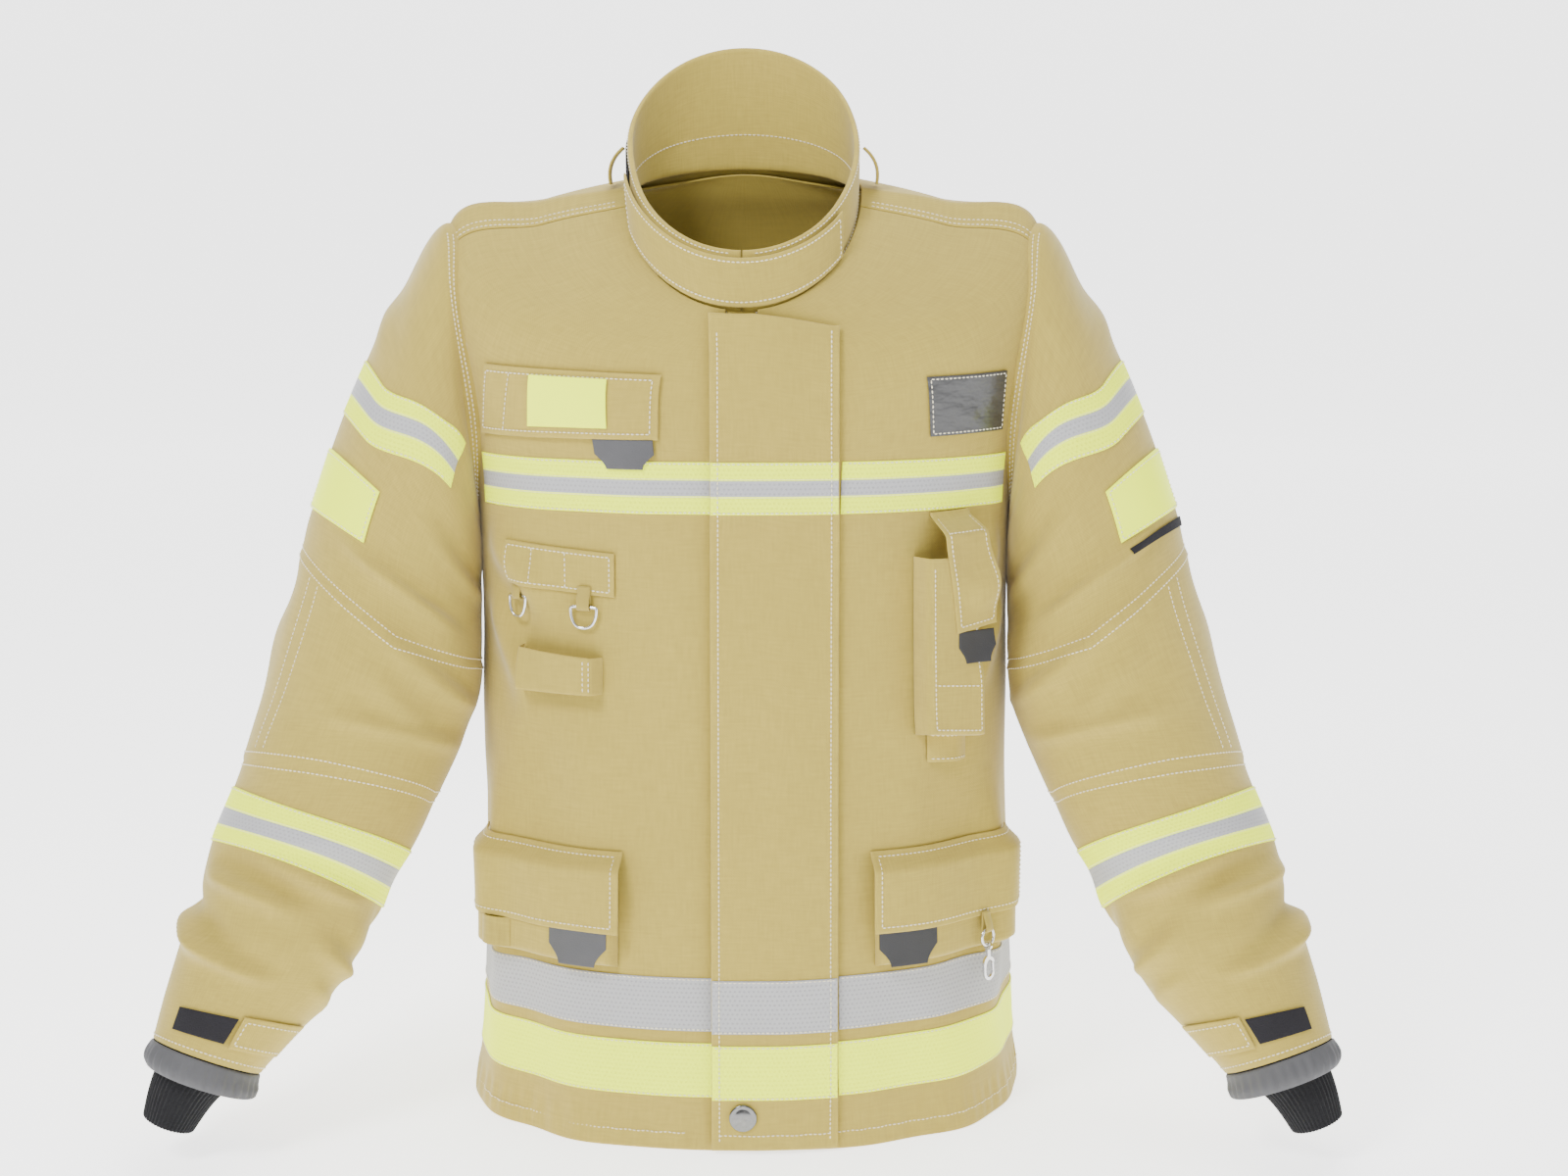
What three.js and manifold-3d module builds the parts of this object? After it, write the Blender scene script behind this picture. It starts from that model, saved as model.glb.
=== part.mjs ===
// A firefighter's turnout coat, closed and standing on its hem: a cloth shell with two sleeves,
// a standing collar, a zip under a storm flap, flapped pockets, reflective bands and small hardware.
// Millimetres, +Z up, -Y is the coat's front, +X is the wearer's left.
import * as THREE from "three";
import { mergeVertices } from "three/addons/utils/BufferGeometryUtils.js";
import Module from "manifold-3d";

const wasm = await Module();
wasm.setup();

// ---- driving dimensions ----
const GAP = 0.3; // clearance between pieces that lie on each other
const LIE = 1; // height of a curved patch over the cloth, so that its flat facets clear it
const BAND_LIE = 1.65;
const SLEEVE_LIE = 1.6;
const CHEST_LIE = 1.9; // more for stiff pieces where the chest curves both ways
const CLOTH = 3; // quilted outer shell
const LINER = 2;
const LINER_DROP = 8; // how far the liner hangs inside the shell
const BAND = 0.8; // reflective tape
const TAB = 1.6; // rubberised pull tabs
const FLAP = 2.4; // doubled cloth of a pocket flap
const HEM_Z = -10;
const CHEST_HALF = 250;
const SHOULDER_HALF = 272;
const HEM_HALF = 265;
const NECK_HALF = 108;
const FRONT_AT_HEM = 178; // how far the centre front stands forward at hem height
const FRONT_SLOPE = 0.08; // and how much it leans back for each millimetre of height
const ZIP_HALF = 14; // half of the opening that the zip closes
const FLAP_FREE_X = -28;
const FLAP_SEWN_X = 85;
const FLAP_TOP_Z = 730;
const ZIP_TOP_Z = 728;
const ZIP_FOOT_Z = 52;
const CHEST_BAND_Z = [567, 613];
const SILVER_BAND_Z = [101, 150];
const YELLOW_BAND_Z = [40, 90];
const POCKET_DEPTH = 14;
const RADIO_DEPTH = 28;
const TORCH_DEPTH = 17;

// Rings of the body from hem to neck: height at the sides, half width, height at the centre
// front, depth and height at the centre back, and how square the ring is.
const BODY_RINGS = [
  [HEM_Z, HEM_HALF, HEM_Z, 165, HEM_Z, 2.3],
  [90, 254, 90, 150, 90, 2.3],
  [380, 248, 380, 138, 380, 2.3],
  [600, CHEST_HALF, 590, 142, 610, 2.3],
  [812, SHOULDER_HALF, 690, 118, 790, 2.3],
  [838, 185, 722, 95, 850, 2.15],
  [850, NECK_HALF, 745, 85, 872, 2],
];
// Rings of the standing collar, in the same order of sizes with its own front depth last.
const COLLAR_RINGS = [
  [844, 105, 739, 82, 866, 2, 115],
  [870, 106, 768, 92, 925, 2, 112],
  [893, 106, 797, 96, 980, 2, 104],
];
// Rings of a sleeve from inside the armhole to the cuff: the outer edge's x and z, the inner
// edge's x and z, the ring's y, and half its depth. They are numbered from -1.
const SLEEVE_RINGS = [
  [186, 742, 197, 610, 0, 40],
  [230, 780, 222, 580, 0, 52],
  [274, 818, 247, 550, 0, 66],
  [317, 756, 247, 535, -5, 82],
  [344, 703, 246, 520, -10, 86],
  [371, 641, 246, 492, -18, 84],
  [398, 566, 246, 458, -27, 82],
  [408, 527, 246, 425, -34, 82],
  [421, 474, 250, 382, -45, 84],
  [448, 377, 262, 349, -60, 82],
  [465, 317, 281, 307, -80, 78],
  [486, 262, 303, 259, -100, 75],
  [494, 224, 335, 206, -120, 70],
  [506, 189, 350, 164, -140, 64],
  [518, 149, 375, 127, -155, 58],
  [529, 100, 435, 65, -180, 48],
  [534, 74, 440, 40, -188, 46],
];
const CUFF_T = 14; // ring at which the sleeve cloth ends and the gaiter starts
// Rings of the knitted wristlet, which starts inside the cuff.
const WRIST_RINGS = [
  [522.8, 109, 431, 75, -177, 42],
  [524, 86, 452, 60, -184, 34],
  [529, 66, 472, 46, -189, 28],
  [537, 34, 494, 16, -195, 24],
];

// ---- surfaces ----
const rad = (deg) => (deg * Math.PI) / 180;
const lerp = (a, b, s) => a + (b - a) * s;
const smooth = (s) => {
  const c = Math.min(1, Math.max(0, s));
  return c * c * (3 - 2 * c);
};

// A smooth curve through rows of numbers, read at row number t.
function rowAt(rows, t) {
  const i = Math.min(rows.length - 2, Math.max(0, Math.floor(t)));
  const f = t - i;
  const slope = (k, c) => {
    const lo = Math.max(0, k - 1);
    const hi = Math.min(rows.length - 1, k + 1);
    return (rows[hi][c] - rows[lo][c]) / (hi - lo);
  };
  return rows[0].map((_, c) => {
    const rise = (2 * f ** 3 - 3 * f ** 2 + 1) * rows[i][c] + (-2 * f ** 3 + 3 * f ** 2) * rows[i + 1][c];
    return rise + (f ** 3 - 2 * f ** 2 + f) * slope(i, c) + (f ** 3 - f ** 2) * slope(i + 1, c);
  });
}

// A point of a leaning superellipse ring; theta is 0 at the wearer's left and -90 at the front.
function ringPoint([side, half, frontZ, back, backZ, square], front, theta) {
  const c = Math.cos(rad(theta));
  const s = Math.sin(rad(theta));
  const across = Math.sign(c) * Math.abs(c) ** (2 / square);
  const along = Math.abs(s) ** (2 / square);
  const y = s < 0 ? -front * along : back * along;
  const z = side + (s < 0 ? frontZ - side : backZ - side) * along;
  return new THREE.Vector3(half * across, y, z);
}
const bodyRow = (theta, v) => {
  const row = rowAt(BODY_RINGS, v);
  return ringPoint(row, FRONT_AT_HEM - FRONT_SLOPE * row[2], theta);
};
const collarRow = (theta, w) => {
  const row = rowAt(COLLAR_RINGS, 2 * w);
  return ringPoint(row, row[6], theta);
};
// The body's point at angle theta and height z.
function bodyAt(theta, z) {
  let low = -0.5;
  let high = BODY_RINGS.length - 1;
  for (let k = 0; k < 32; k++) {
    const mid = (low + high) / 2;
    if (bodyRow(theta, mid).z < z) low = mid;
    else high = mid;
  }
  return bodyRow(theta, (low + high) / 2);
}
// The angle at which the body's front stands at a given x and height.
function thetaAt(x, z) {
  let low = -180;
  let high = 0;
  for (let k = 0; k < 32; k++) {
    const mid = (low + high) / 2;
    if (bodyAt(mid, z).x < x) low = mid;
    else high = mid;
  }
  return (low + high) / 2;
}
const frontAt = (x, z) => bodyAt(thetaAt(x, z), z);

// A sleeve's point at angle phi (0 outer edge, 90 front) and ring number t.
function tubeSurface(rows, side, lead) {
  const middle = (t) => {
    const r = rowAt(rows, t + lead);
    return new THREE.Vector3((r[0] + r[2]) / 2, r[4], (r[1] + r[3]) / 2);
  };
  return (phi, t) => {
    const r = rowAt(rows, t + lead);
    const along = middle(t + 0.01).sub(middle(t - 0.01)).normalize();
    const out = new THREE.Vector3((r[0] - r[2]) / 2, 0, (r[1] - r[3]) / 2);
    const deep = along.clone().cross(out).normalize();
    deep.multiplyScalar(-Math.sign(deep.y) * r[5]);
    const p = middle(t).addScaledVector(out, Math.cos(rad(phi)));
    p.addScaledVector(deep, Math.sin(rad(phi)));
    p.x *= side;
    return p;
  };
}
const sleeveAt = { left: tubeSurface(SLEEVE_RINGS, 1, 1), right: tubeSurface(SLEEVE_RINGS, -1, 1) };
const wristAt = { left: tubeSurface(WRIST_RINGS, 1, 0), right: tubeSurface(WRIST_RINGS, -1, 0) };

// ---- solids ----
// A sheet of the surface between two offsets, over map(s, w) with s and w from 0 to 1. The
// offsets are numbers or functions of s and w, measured along the surface's outward normal.
function sheet(surface, map, across, up, inner, outer, ring = false) {
  const at = (s, w) => surface(...map(s, w));
  const tiny = 1e-3;
  const value = (o, s, w) => (typeof o === "function" ? o(s, w) : o);
  const cols = ring ? across : across + 1;
  const positions = [];
  let facing = 0;
  const normals = [];
  for (let j = 0; j <= up; j++)
    for (let i = 0; i < cols; i++) {
      const s = i / across;
      const w = j / up;
      const ds = at(s + tiny, w).sub(at(s - tiny, w));
      const dw = at(s, w + tiny).sub(at(s, w - tiny));
      const n = ds.cross(dw).normalize();
      normals.push([at(s, w), n, s, w]);
    }
  // The outward side is the one away from the surface's middle line, by the vote of a few places.
  for (const share of [0.1, 0.3, 0.5, 0.7, 0.9]) {
    const [u, v] = map(share, 0.5);
    const centre = new THREE.Vector3();
    for (let k = 0; k < 12; k++) centre.addScaledVector(surface(u + 30 * k, v), 1 / 12);
    const here = at(share, 0.5);
    const ds = at(share + tiny, 0.5).sub(at(share - tiny, 0.5));
    const dw = at(share, 0.5 + tiny).sub(at(share, 0.5 - tiny));
    facing += ds.cross(dw).normalize().dot(here.sub(centre).normalize());
  }
  facing = Math.sign(facing) || 1;
  for (const layer of [outer, inner])
    for (const [p, n, s, w] of normals) {
      const q = p.clone().addScaledVector(n, facing * value(layer, s, w));
      positions.push(q.x, q.y, q.z);
    }
  const half = normals.length;
  const index = [];
  const quad = (a, b, c, d) => index.push(a, b, c, a, c, d);
  const id = (i, j, layer) => (ring ? i % cols : i) + j * cols + layer * half;
  for (let j = 0; j < up; j++)
    for (let i = 0; i < across; i++) {
      quad(id(i, j, 0), id(i + 1, j, 0), id(i + 1, j + 1, 0), id(i, j + 1, 0));
      quad(id(i, j + 1, 1), id(i + 1, j + 1, 1), id(i + 1, j, 1), id(i, j, 1));
    }
  for (let i = 0; i < across; i++) {
    quad(id(i, 0, 1), id(i + 1, 0, 1), id(i + 1, 0, 0), id(i, 0, 0));
    quad(id(i, up, 0), id(i + 1, up, 0), id(i + 1, up, 1), id(i, up, 1));
  }
  if (!ring)
    for (let j = 0; j < up; j++) {
      quad(id(0, j, 0), id(0, j + 1, 0), id(0, j + 1, 1), id(0, j, 1));
      quad(id(across, j, 1), id(across, j + 1, 1), id(across, j + 1, 0), id(across, j, 0));
    }
  if (facing < 0) index.reverse();
  const g = new THREE.BufferGeometry();
  g.setAttribute("position", new THREE.Float32BufferAttribute(positions, 3));
  g.setIndex(index);
  return g;
}
// A closed plug of a tubular surface between two rows, used for cutting.
function plug(surface, from, to, around, up, offset) {
  const g = sheet(surface, (s, w) => [360 * s, lerp(from, to, w)], around, up, offset - 1, offset, true);
  const p = g.getAttribute("position");
  const rows = up + 1;
  const positions = [...p.array.slice(0, 3 * around * rows)];
  const middle = (j) => {
    const c = [0, 0, 0];
    for (let i = 0; i < around; i++)
      for (let k = 0; k < 3; k++) c[k] += positions[3 * (j * around + i) + k] / around;
    return c;
  };
  positions.push(...middle(0), ...middle(up));
  const foot = around * rows;
  const turned = [];
  const all = [...g.getIndex().array];
  for (let f = 0; f < all.length; f += 3)
    if (all.slice(f, f + 3).every((v) => v < foot)) turned.push(...all.slice(f, f + 3));
  // Cap triangles take the winding that closes the wall.
  const edges = new Set();
  for (let f = 0; f < turned.length; f += 3)
    for (let k = 0; k < 3; k++) edges.add(turned[f + k] + ">" + turned[f + ((k + 1) % 3)]);
  for (const [row, hub] of [[0, foot], [up, foot + 1]])
    for (let i = 0; i < around; i++) {
      const a = row * around + i;
      const b = row * around + ((i + 1) % around);
      if (edges.has(a + ">" + b)) turned.push(b, a, hub);
      else turned.push(a, b, hub);
    }
  const out = new THREE.BufferGeometry();
  out.setAttribute("position", new THREE.Float32BufferAttribute(positions, 3));
  out.setIndex(turned);
  return out;
}
function solid(geometry) {
  const g = geometry.clone();
  g.deleteAttribute("normal");
  g.deleteAttribute("uv");
  const m = mergeVertices(g, 1e-3);
  return new wasm.Manifold(
    new wasm.Mesh({
      numProp: 3,
      vertProperties: new Float32Array(m.attributes.position.array),
      triVerts: new Uint32Array(m.index.array),
    }),
  );
}
function shape(made) {
  const mesh = made.getMesh();
  const g = new THREE.BufferGeometry();
  g.setAttribute("position", new THREE.BufferAttribute(mesh.vertProperties, 3));
  g.setIndex(new THREE.BufferAttribute(mesh.triVerts, 1));
  return g;
}
// Cuts the tools out of a piece and keeps its largest part, so that no scrap is left over.
function cut(a, ...tools) {
  const parts = tools.reduce((m, t) => m.subtract(solid(t)), solid(a)).decompose();
  return shape(parts.reduce((best, m) => (m.volume() > best.volume() ? m : best)));
}
const join = (a, ...more) => shape(more.reduce((m, t) => m.add(solid(t)), solid(a)));

// Maps a four-cornered patch: corners run bottom start, bottom end, top end, top start.
const corners = ([a, b, c, d]) => (s, w) => [
  lerp(lerp(a[0], b[0], s), lerp(d[0], c[0], s), w),
  lerp(lerp(a[1], b[1], s), lerp(d[1], c[1], s), w),
];
// The local frame on the body's front: x along the cloth, y up it and z out of it.
function seat(x, z, offset) {
  const p = frontAt(x, z);
  const along = frontAt(x + 1, z).sub(frontAt(x - 1, z)).normalize();
  const up = frontAt(x, z + 1).sub(frontAt(x, z - 1)).normalize();
  const out = along.clone().cross(up).normalize();
  if (out.y > 0) out.negate();
  const above = out.clone().cross(along).normalize();
  const m = new THREE.Matrix4().makeBasis(along, above, out);
  return m.setPosition(p.addScaledVector(out, offset));
}
const placed = (g, m) => g.clone().applyMatrix4(m);
// A folded webbing loop that hangs from its top: its eye runs along the local x.
const EYE = 2.7;
function foldedLoop(width, height, depth) {
  const side = new THREE.Shape();
  side.moveTo(0, 0);
  side.lineTo(0, -height + depth / 2);
  side.absarc(depth / 2, -height + depth / 2, depth / 2, Math.PI, 2 * Math.PI, false);
  side.lineTo(depth, 0);
  side.closePath();
  const eye = new THREE.Path();
  eye.absarc(depth / 2, -height + depth / 2, EYE, 0, 2 * Math.PI, true);
  side.holes.push(eye);
  const g = new THREE.ExtrudeGeometry(side, { depth: width, bevelEnabled: false, curveSegments: 5 });
  // Shape x becomes outward, shape y stays up, and the extrusion runs along the cloth.
  const turn = new THREE.Matrix4().makeBasis(
    new THREE.Vector3(0, 0, 1),
    new THREE.Vector3(0, 1, 0),
    new THREE.Vector3(-1, 0, 0),
  );
  return g.applyMatrix4(turn).translate(width / 2, 0, 0);
}

// ---- assembly ----
const group = new THREE.Group();
const CLOTH_COLOUR = 0xbcaf74;
const looks = {
  cloth: { color: CLOTH_COLOUR, roughness: 0.9 },
  liner: { color: 0xb09c60, roughness: 0.95 },
  yellow: { color: 0xe8ff3c, roughness: 0.6 },
  silver: { color: 0xb4b4b4, roughness: 0.4 },
  tab: { color: 0x5d5d5f, roughness: 0.8 },
  dark: { color: 0x3c3c3e, roughness: 0.7 },
  knit: { color: 0x161618, roughness: 1 },
  metal: { color: 0xd8d8d8, roughness: 0.25, metalness: 1 },
  webbing: { color: 0xa89c64, roughness: 0.9 },
};
function add(name, geometry, look) {
  const g = geometry.index ? geometry.toNonIndexed() : geometry;
  g.deleteAttribute("normal");
  g.computeVertexNormals();
  const mesh = new THREE.Mesh(g, new THREE.MeshStandardMaterial(looks[look]));
  mesh.name = name;
  group.add(mesh);
  return mesh;
}

const SLEEVE_ROUND = 16; // facets round a sleeve
const SLEEVE_FROM = 0; // ring at which its cloth starts, inside the armhole
const SLEEVE_ROWS = 14;
const SLEEVE_ROW = (CUFF_T - SLEEVE_FROM) / SLEEVE_ROWS;
// Sets the cloth's rim at the hem to one level, so that the coat stands flat.
function levelHem(g) {
  const p = g.getAttribute("position");
  for (let i = 0; i < p.count; i++) if (p.getZ(i) < HEM_Z + 1) p.setZ(i, HEM_Z);
  return g;
}
// Body panels. The fronts end in a seam on the shoulder, and the back wraps over to it.
const sleevePlug = {};
for (const side of ["left", "right"]) {
  const [from, to] = [SLEEVE_FROM - SLEEVE_ROW, SLEEVE_FROM + 4 * SLEEVE_ROW];
  sleevePlug[side] = plug(sleeveAt[side], from, to, SLEEVE_ROUND, 5, GAP);
}
const COLLAR_ROUND = 28;
const COLLAR_WALL = 5;
const COLLAR_CLEAR = 0.7; // room round the collar's foot, where it stands in the neck of the body
const neckRing = (s, w) => [360 * s, lerp(-0.05, 1, w)];
const collarCutter = sheet(collarRow, neckRing, COLLAR_ROUND, 3, -COLLAR_WALL - GAP, COLLAR_CLEAR, true);
const bodyTop = BODY_RINGS.length - 1;
const SHOULDER_SEAM = 9; // degrees in front of the shoulder line
const SIDE_UP = 3.4; // ring above which the back panel wraps forward
const seamAt = (v) => SHOULDER_SEAM * smooth((v - SIDE_UP) / 0.6);
const frontEdge = (x, v) => {
  const row = rowAt(BODY_RINGS, v);
  return -90 + (Math.asin(Math.sign(x) * (Math.abs(x) / row[1]) ** (row[5] / 2)) * 180) / Math.PI;
};
const SEAM = 0.12; // degrees on each side of a seam
const panels = {
  right_front: (s, w) => {
    const v = bodyTop * w;
    return [lerp(-180 + seamAt(v) + SEAM, frontEdge(-ZIP_HALF, v), s), v];
  },
  left_front: (s, w) => {
    const v = bodyTop * w;
    return [lerp(frontEdge(ZIP_HALF, v), -seamAt(v) - SEAM, s), v];
  },
  back_panel: (s, w) => {
    const v = bodyTop * w;
    return [lerp(-seamAt(v) + SEAM, 180 + seamAt(v) - SEAM, s), v];
  },
};
for (const [name, map] of Object.entries(panels)) {
  const wide = name === "back_panel" ? 18 : 10;
  let panel = levelHem(sheet(bodyRow, map, wide, 12, -CLOTH, 0));
  if (name === "right_front") {
    // A tongue below the zip's foot carries the snap's stud.
    const tongue = (s, w) => [lerp(-ZIP_HALF - 6, ZIP_HALF - 1, s), lerp(HEM_Z, ZIP_FOOT_Z - 4, w)];
    panel = join(panel, levelHem(sheet(frontAt, tongue, 3, 3, -CLOTH + 0.05, -0.05)));
  }
  add(name, cut(panel, sleevePlug.left, sleevePlug.right, collarCutter), "cloth");
}
const linerMap = (s, w) => {
  const v = lerp(0.12, 5.75, w);
  return [lerp(frontEdge(24, v), 360 + frontEdge(-24, v), s), v];
};
const lining = sheet(bodyRow, linerMap, 24, 8, -CLOTH - LINER_DROP - LINER, -CLOTH - LINER_DROP);
add("body_liner", cut(lining, sleevePlug.left, sleevePlug.right, collarCutter), "liner");

// Standing collar, open at the centre front, with the tab that closes it.
const COLLAR_SPLIT = 2.2; // degrees on each side of the centre front
const collarMap = (s, w) => [lerp(-90 + COLLAR_SPLIT, 270 - COLLAR_SPLIT, s), w];
add("collar", sheet(collarRow, collarMap, COLLAR_ROUND, 3, -COLLAR_WALL, 0), "cloth");
const tabMap = corners([[-158, 0.14], [-36, 0.14], [-36, 0.86], [-166, 0.86]]);
const THROAT_TAB_LIE = 2.9;
const THROAT_TAB = 2.8;
add("collar_tab", sheet(collarRow, tabMap, 14, 2, THROAT_TAB_LIE, THROAT_TAB_LIE + THROAT_TAB), "cloth");

// Webbing loops beside the collar.
for (const [side, sign] of [["left", 1], ["right", -1]]) {
  const strap = new THREE.Shape();
  strap.moveTo(118, 853);
  strap.lineTo(126, 852);
  strap.quadraticCurveTo(130, 874, 112, 888);
  strap.lineTo(108.5, 883);
  strap.quadraticCurveTo(123, 872, 118, 853);
  const g = new THREE.ExtrudeGeometry(strap, { depth: 20, bevelEnabled: false, curveSegments: 5 });
  g.applyMatrix4(new THREE.Matrix4().makeRotationX(Math.PI / 2)).translate(0, 18, 0);
  if (sign < 0) g.applyMatrix4(new THREE.Matrix4().makeRotationZ(Math.PI)).translate(0, 16, 0);
  add("shoulder_loop_" + side, g, "webbing");
}

// Zip: two tapes with thicker chain edges, a slider round them and its pull.
const CHAIN_HALF = 1.2;
for (const [side, sign] of [["left", 1], ["right", -1]]) {
  const tape = (s, w) => [sign * lerp(CHAIN_HALF, ZIP_HALF - GAP, s), lerp(ZIP_FOOT_Z, ZIP_TOP_Z, w)];
  const face = (s) => (s < 0.3 ? -0.7 : -1.3);
  add("zip_tape_" + side, sheet(frontAt, tape, 4, 5, -2.5, face), "liner");
}
const SLIDER_Z = ZIP_TOP_Z - 16;
const box = (w, h, d, x, y, z) => new THREE.BoxGeometry(w, h, d).translate(x, y, z);
// Front plate, back plate and the post between them, in the zip's local frame.
const sliderParts = [
  box(10, 18, 1.6, 0, 0, -0.7 + GAP + 0.8),
  box(10, 18, 1.4, 0, 0, -2.5 - GAP - 0.7),
  box(1.4, 4, 4.4, 0, 6, -1.6),
];
add("zip_slider", placed(join(...sliderParts), seat(0, SLIDER_Z, 0)), "metal");
add("zip_pull", placed(box(6, 26, 1.3, 0, -9, 2.2), seat(0, SLIDER_Z, 0)), "metal");

// Storm flap over the zip, sewn down at the wearer's left, with its share of each band.
const FLAP_LIFT = 5.8; // height of its back over the body beside the zip; it comes down to its seam
const flapLift = (x) => lerp(FLAP_LIFT, 3, smooth((x - 30) / 48));
const FLAP_FOOT_Z = HEM_Z + 3;
const flapSheet = (x0, x1, z0, z1, nx, nz, from, to) =>
  sheet(frontAt, (s, w) => [lerp(x0, x1, s), lerp(z0, z1, w)], nx, nz,
    (s) => flapLift(lerp(x0, x1, s)) + from, (s) => flapLift(lerp(x0, x1, s)) + to);
add("storm_flap", flapSheet(FLAP_FREE_X, FLAP_SEWN_X, FLAP_FOOT_Z, FLAP_TOP_Z, 8, 12, 0, CLOTH), "cloth");
const bandLooks = { chest: "yellow", silver: "silver", yellow: "yellow" };
const bandHeights = { chest: CHEST_BAND_Z, silver: SILVER_BAND_Z, yellow: YELLOW_BAND_Z };
for (const [name, [z0, z1]] of Object.entries(bandHeights)) {
  const lie = CLOTH + 2 * GAP;
  const strip = flapSheet(FLAP_FREE_X + 0.5, FLAP_SEWN_X - 1, z0, z1, 8, 1, lie, lie + BAND);
  add("flap_" + name + "_band", strip, bandLooks[name]);
}
const round = (profile, segments) =>
  new THREE.LatheGeometry(profile.map(([r, y]) => new THREE.Vector2(r, y)), segments).applyMatrix4(
    new THREE.Matrix4().makeRotationX(Math.PI / 2),
  );
const SNAP_Z = 24;
const capProfile = [[0, 0], [11.5, 0], [11.5, 1.4], [9, 2.6], [0, 3.2]];
const studProfile = [[0, 0], [8, 0], [8, 1], [4, 1.5], [4, 5.1], [0, 5.1]];
add("snap_cap", placed(round(capProfile, 24), seat(0, SNAP_Z, FLAP_LIFT + CLOTH + GAP)), "metal");
add("snap_stud", placed(round(studProfile, 16), seat(0, SNAP_Z, GAP)), "metal");

// Bands round the body, open at the front. The chest band stops at each armhole.
const BESIDE_FLAP = 3.2; // how far beside the flap's seam a band starts
const ringBand = ([z0, z1], from, to, n) =>
  sheet(bodyAt, (s, w) => [lerp(from, to, s), lerp(z0, z1, w)], n, 1, BAND_LIE, BAND_LIE + BAND);
for (const name of ["silver", "yellow"]) {
  const z = bandHeights[name][0];
  const from = thetaAt(FLAP_SEWN_X + BESIDE_FLAP, z);
  const to = 360 + thetaAt(-ZIP_HALF - 1, z);
  add(name + "_band", ringBand(bandHeights[name], from, to, 44), bandLooks[name]);
}
const chestZ = CHEST_BAND_Z[0];
const chestSpans = {
  chest_band_right: [-157, thetaAt(-ZIP_HALF - 1, chestZ), 8],
  chest_band_left: [thetaAt(FLAP_SEWN_X + BESIDE_FLAP, chestZ), -23, 6],
  chest_band_back: [28, 152, 14],
};
for (const [name, [from, to, n]] of Object.entries(chestSpans))
  add(name, cut(ringBand(CHEST_BAND_Z, from, to, n), sleevePlug.left, sleevePlug.right), "yellow");

// Right chest: badge flap with its plate and pull tab, tool strip with rings, torch loop.
const onBody = (cornerList, nx, nz, inner, outer) => sheet(bodyAt, corners(cornerList), nx, nz, inner, outer);
const badgeFlap = [[-156, 632], [-103.5, 632], [-102, 689], [-145, 696]];
add("id_flap", onBody(badgeFlap, 8, 3, CHEST_LIE, CHEST_LIE + FLAP), "cloth");
const plateAt = CHEST_LIE + FLAP + 2 * GAP;
const badge = [[-134, 642], [-113.5, 642], [-112, 685], [-130, 688]];
add("id_plate", onBody(badge, 4, 2, plateAt, plateAt + 1.2), "yellow");
// A pull tab narrows towards its foot.
const tabCorners = (from, to, top, foot) => [
  [lerp(from, to, 0.2), foot],
  [lerp(from, to, 0.8), foot],
  [to, top],
  [from, top],
];
add("id_tab", onBody(tabCorners(-117, -105, 631.6, 608), 3, 2, CHEST_LIE + TAB, CHEST_LIE + 2 * TAB), "tab");
const nameField = [[-52.8, 633], [-25.5, 635], [-30, 689], [-56.8, 686]];
add("name_patch", onBody(nameField, 6, 3, CHEST_LIE, CHEST_LIE + 1.4), "dark");

const stripBody = onBody([[-145.5, 499], [-114, 492], [-114, 531], [-146, 538]], 6, 1, LIE, LIE + FLAP);
const LOOP_DEPTH = 7.4;
const ringSeats = { d_ring_outer: [-201, 500, 16, 1], d_ring_inner: [-140, 495, 16, 1.3] };
const LOOP_HANG = 16;
const stripLoops = Object.values(ringSeats).map(([x, z, width]) =>
  placed(foldedLoop(width / 2, LOOP_HANG, LOOP_DEPTH), seat(x, z, 0.6)),
);
add("tool_strip", join(stripBody, ...stripLoops), "webbing");
const WIRE = 1.4;
function wireRing(radius, stretch) {
  // The ring hangs with its top wire through the loop's eye.
  return new THREE.TorusGeometry(radius, WIRE, 6, 14).scale(stretch, 1, 1).translate(0, -radius, 0);
}
const eyeBelow = (hang) => -hang + LOOP_DEPTH / 2;
for (const [name, [x, z, , stretch]] of Object.entries(ringSeats)) {
  const hung = wireRing(9.6, stretch).translate(0, eyeBelow(LOOP_HANG), LOOP_DEPTH / 2);
  add(name, placed(hung, seat(x, z, 0.6)), "metal");
}
const tunnel = (outerCorners, nx, nz, depth, wall) => {
  const whole = onBody(outerCorners, nx, nz, LIE, depth);
  const [a, b, c, d] = outerCorners;
  const inset = 2.4;
  const past = 9; // the room runs past both ends
  const room = [
    [a[0] + inset, a[1] - past],
    [b[0] - inset, b[1] - past],
    [c[0] - inset, c[1] + past],
    [d[0] + inset, d[1] + past],
  ];
  return cut(whole, onBody(room, nx, nz, LIE + wall, depth - wall));
};
const torchLoop = [[-140.5, 405], [-117, 405], [-117, 438], [-140.5, 444]];
add("torch_loop", tunnel(torchLoop, 4, 1, TORCH_DEPTH, FLAP), "cloth");

// Raised microphone tab high on the left chest: two arches either side of its centre stitch.
const micMap = (s, w) => [lerp(141, 227, s), lerp(lerp(800, 784, s), lerp(821, 806, s), w)];
const arch = (s) => 6 * Math.abs(Math.sin(2 * Math.PI * s));
add("mic_loop", sheet(frontAt, micMap, 12, 1, (s) => LIE + arch(s), (s) => LIE + 2.2 + arch(s)), "cloth");

const WALL_TURN = 200; // radius at which a pocket's wall thickness is turned into an angle
const POCKET_WALL = 2.2;
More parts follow.
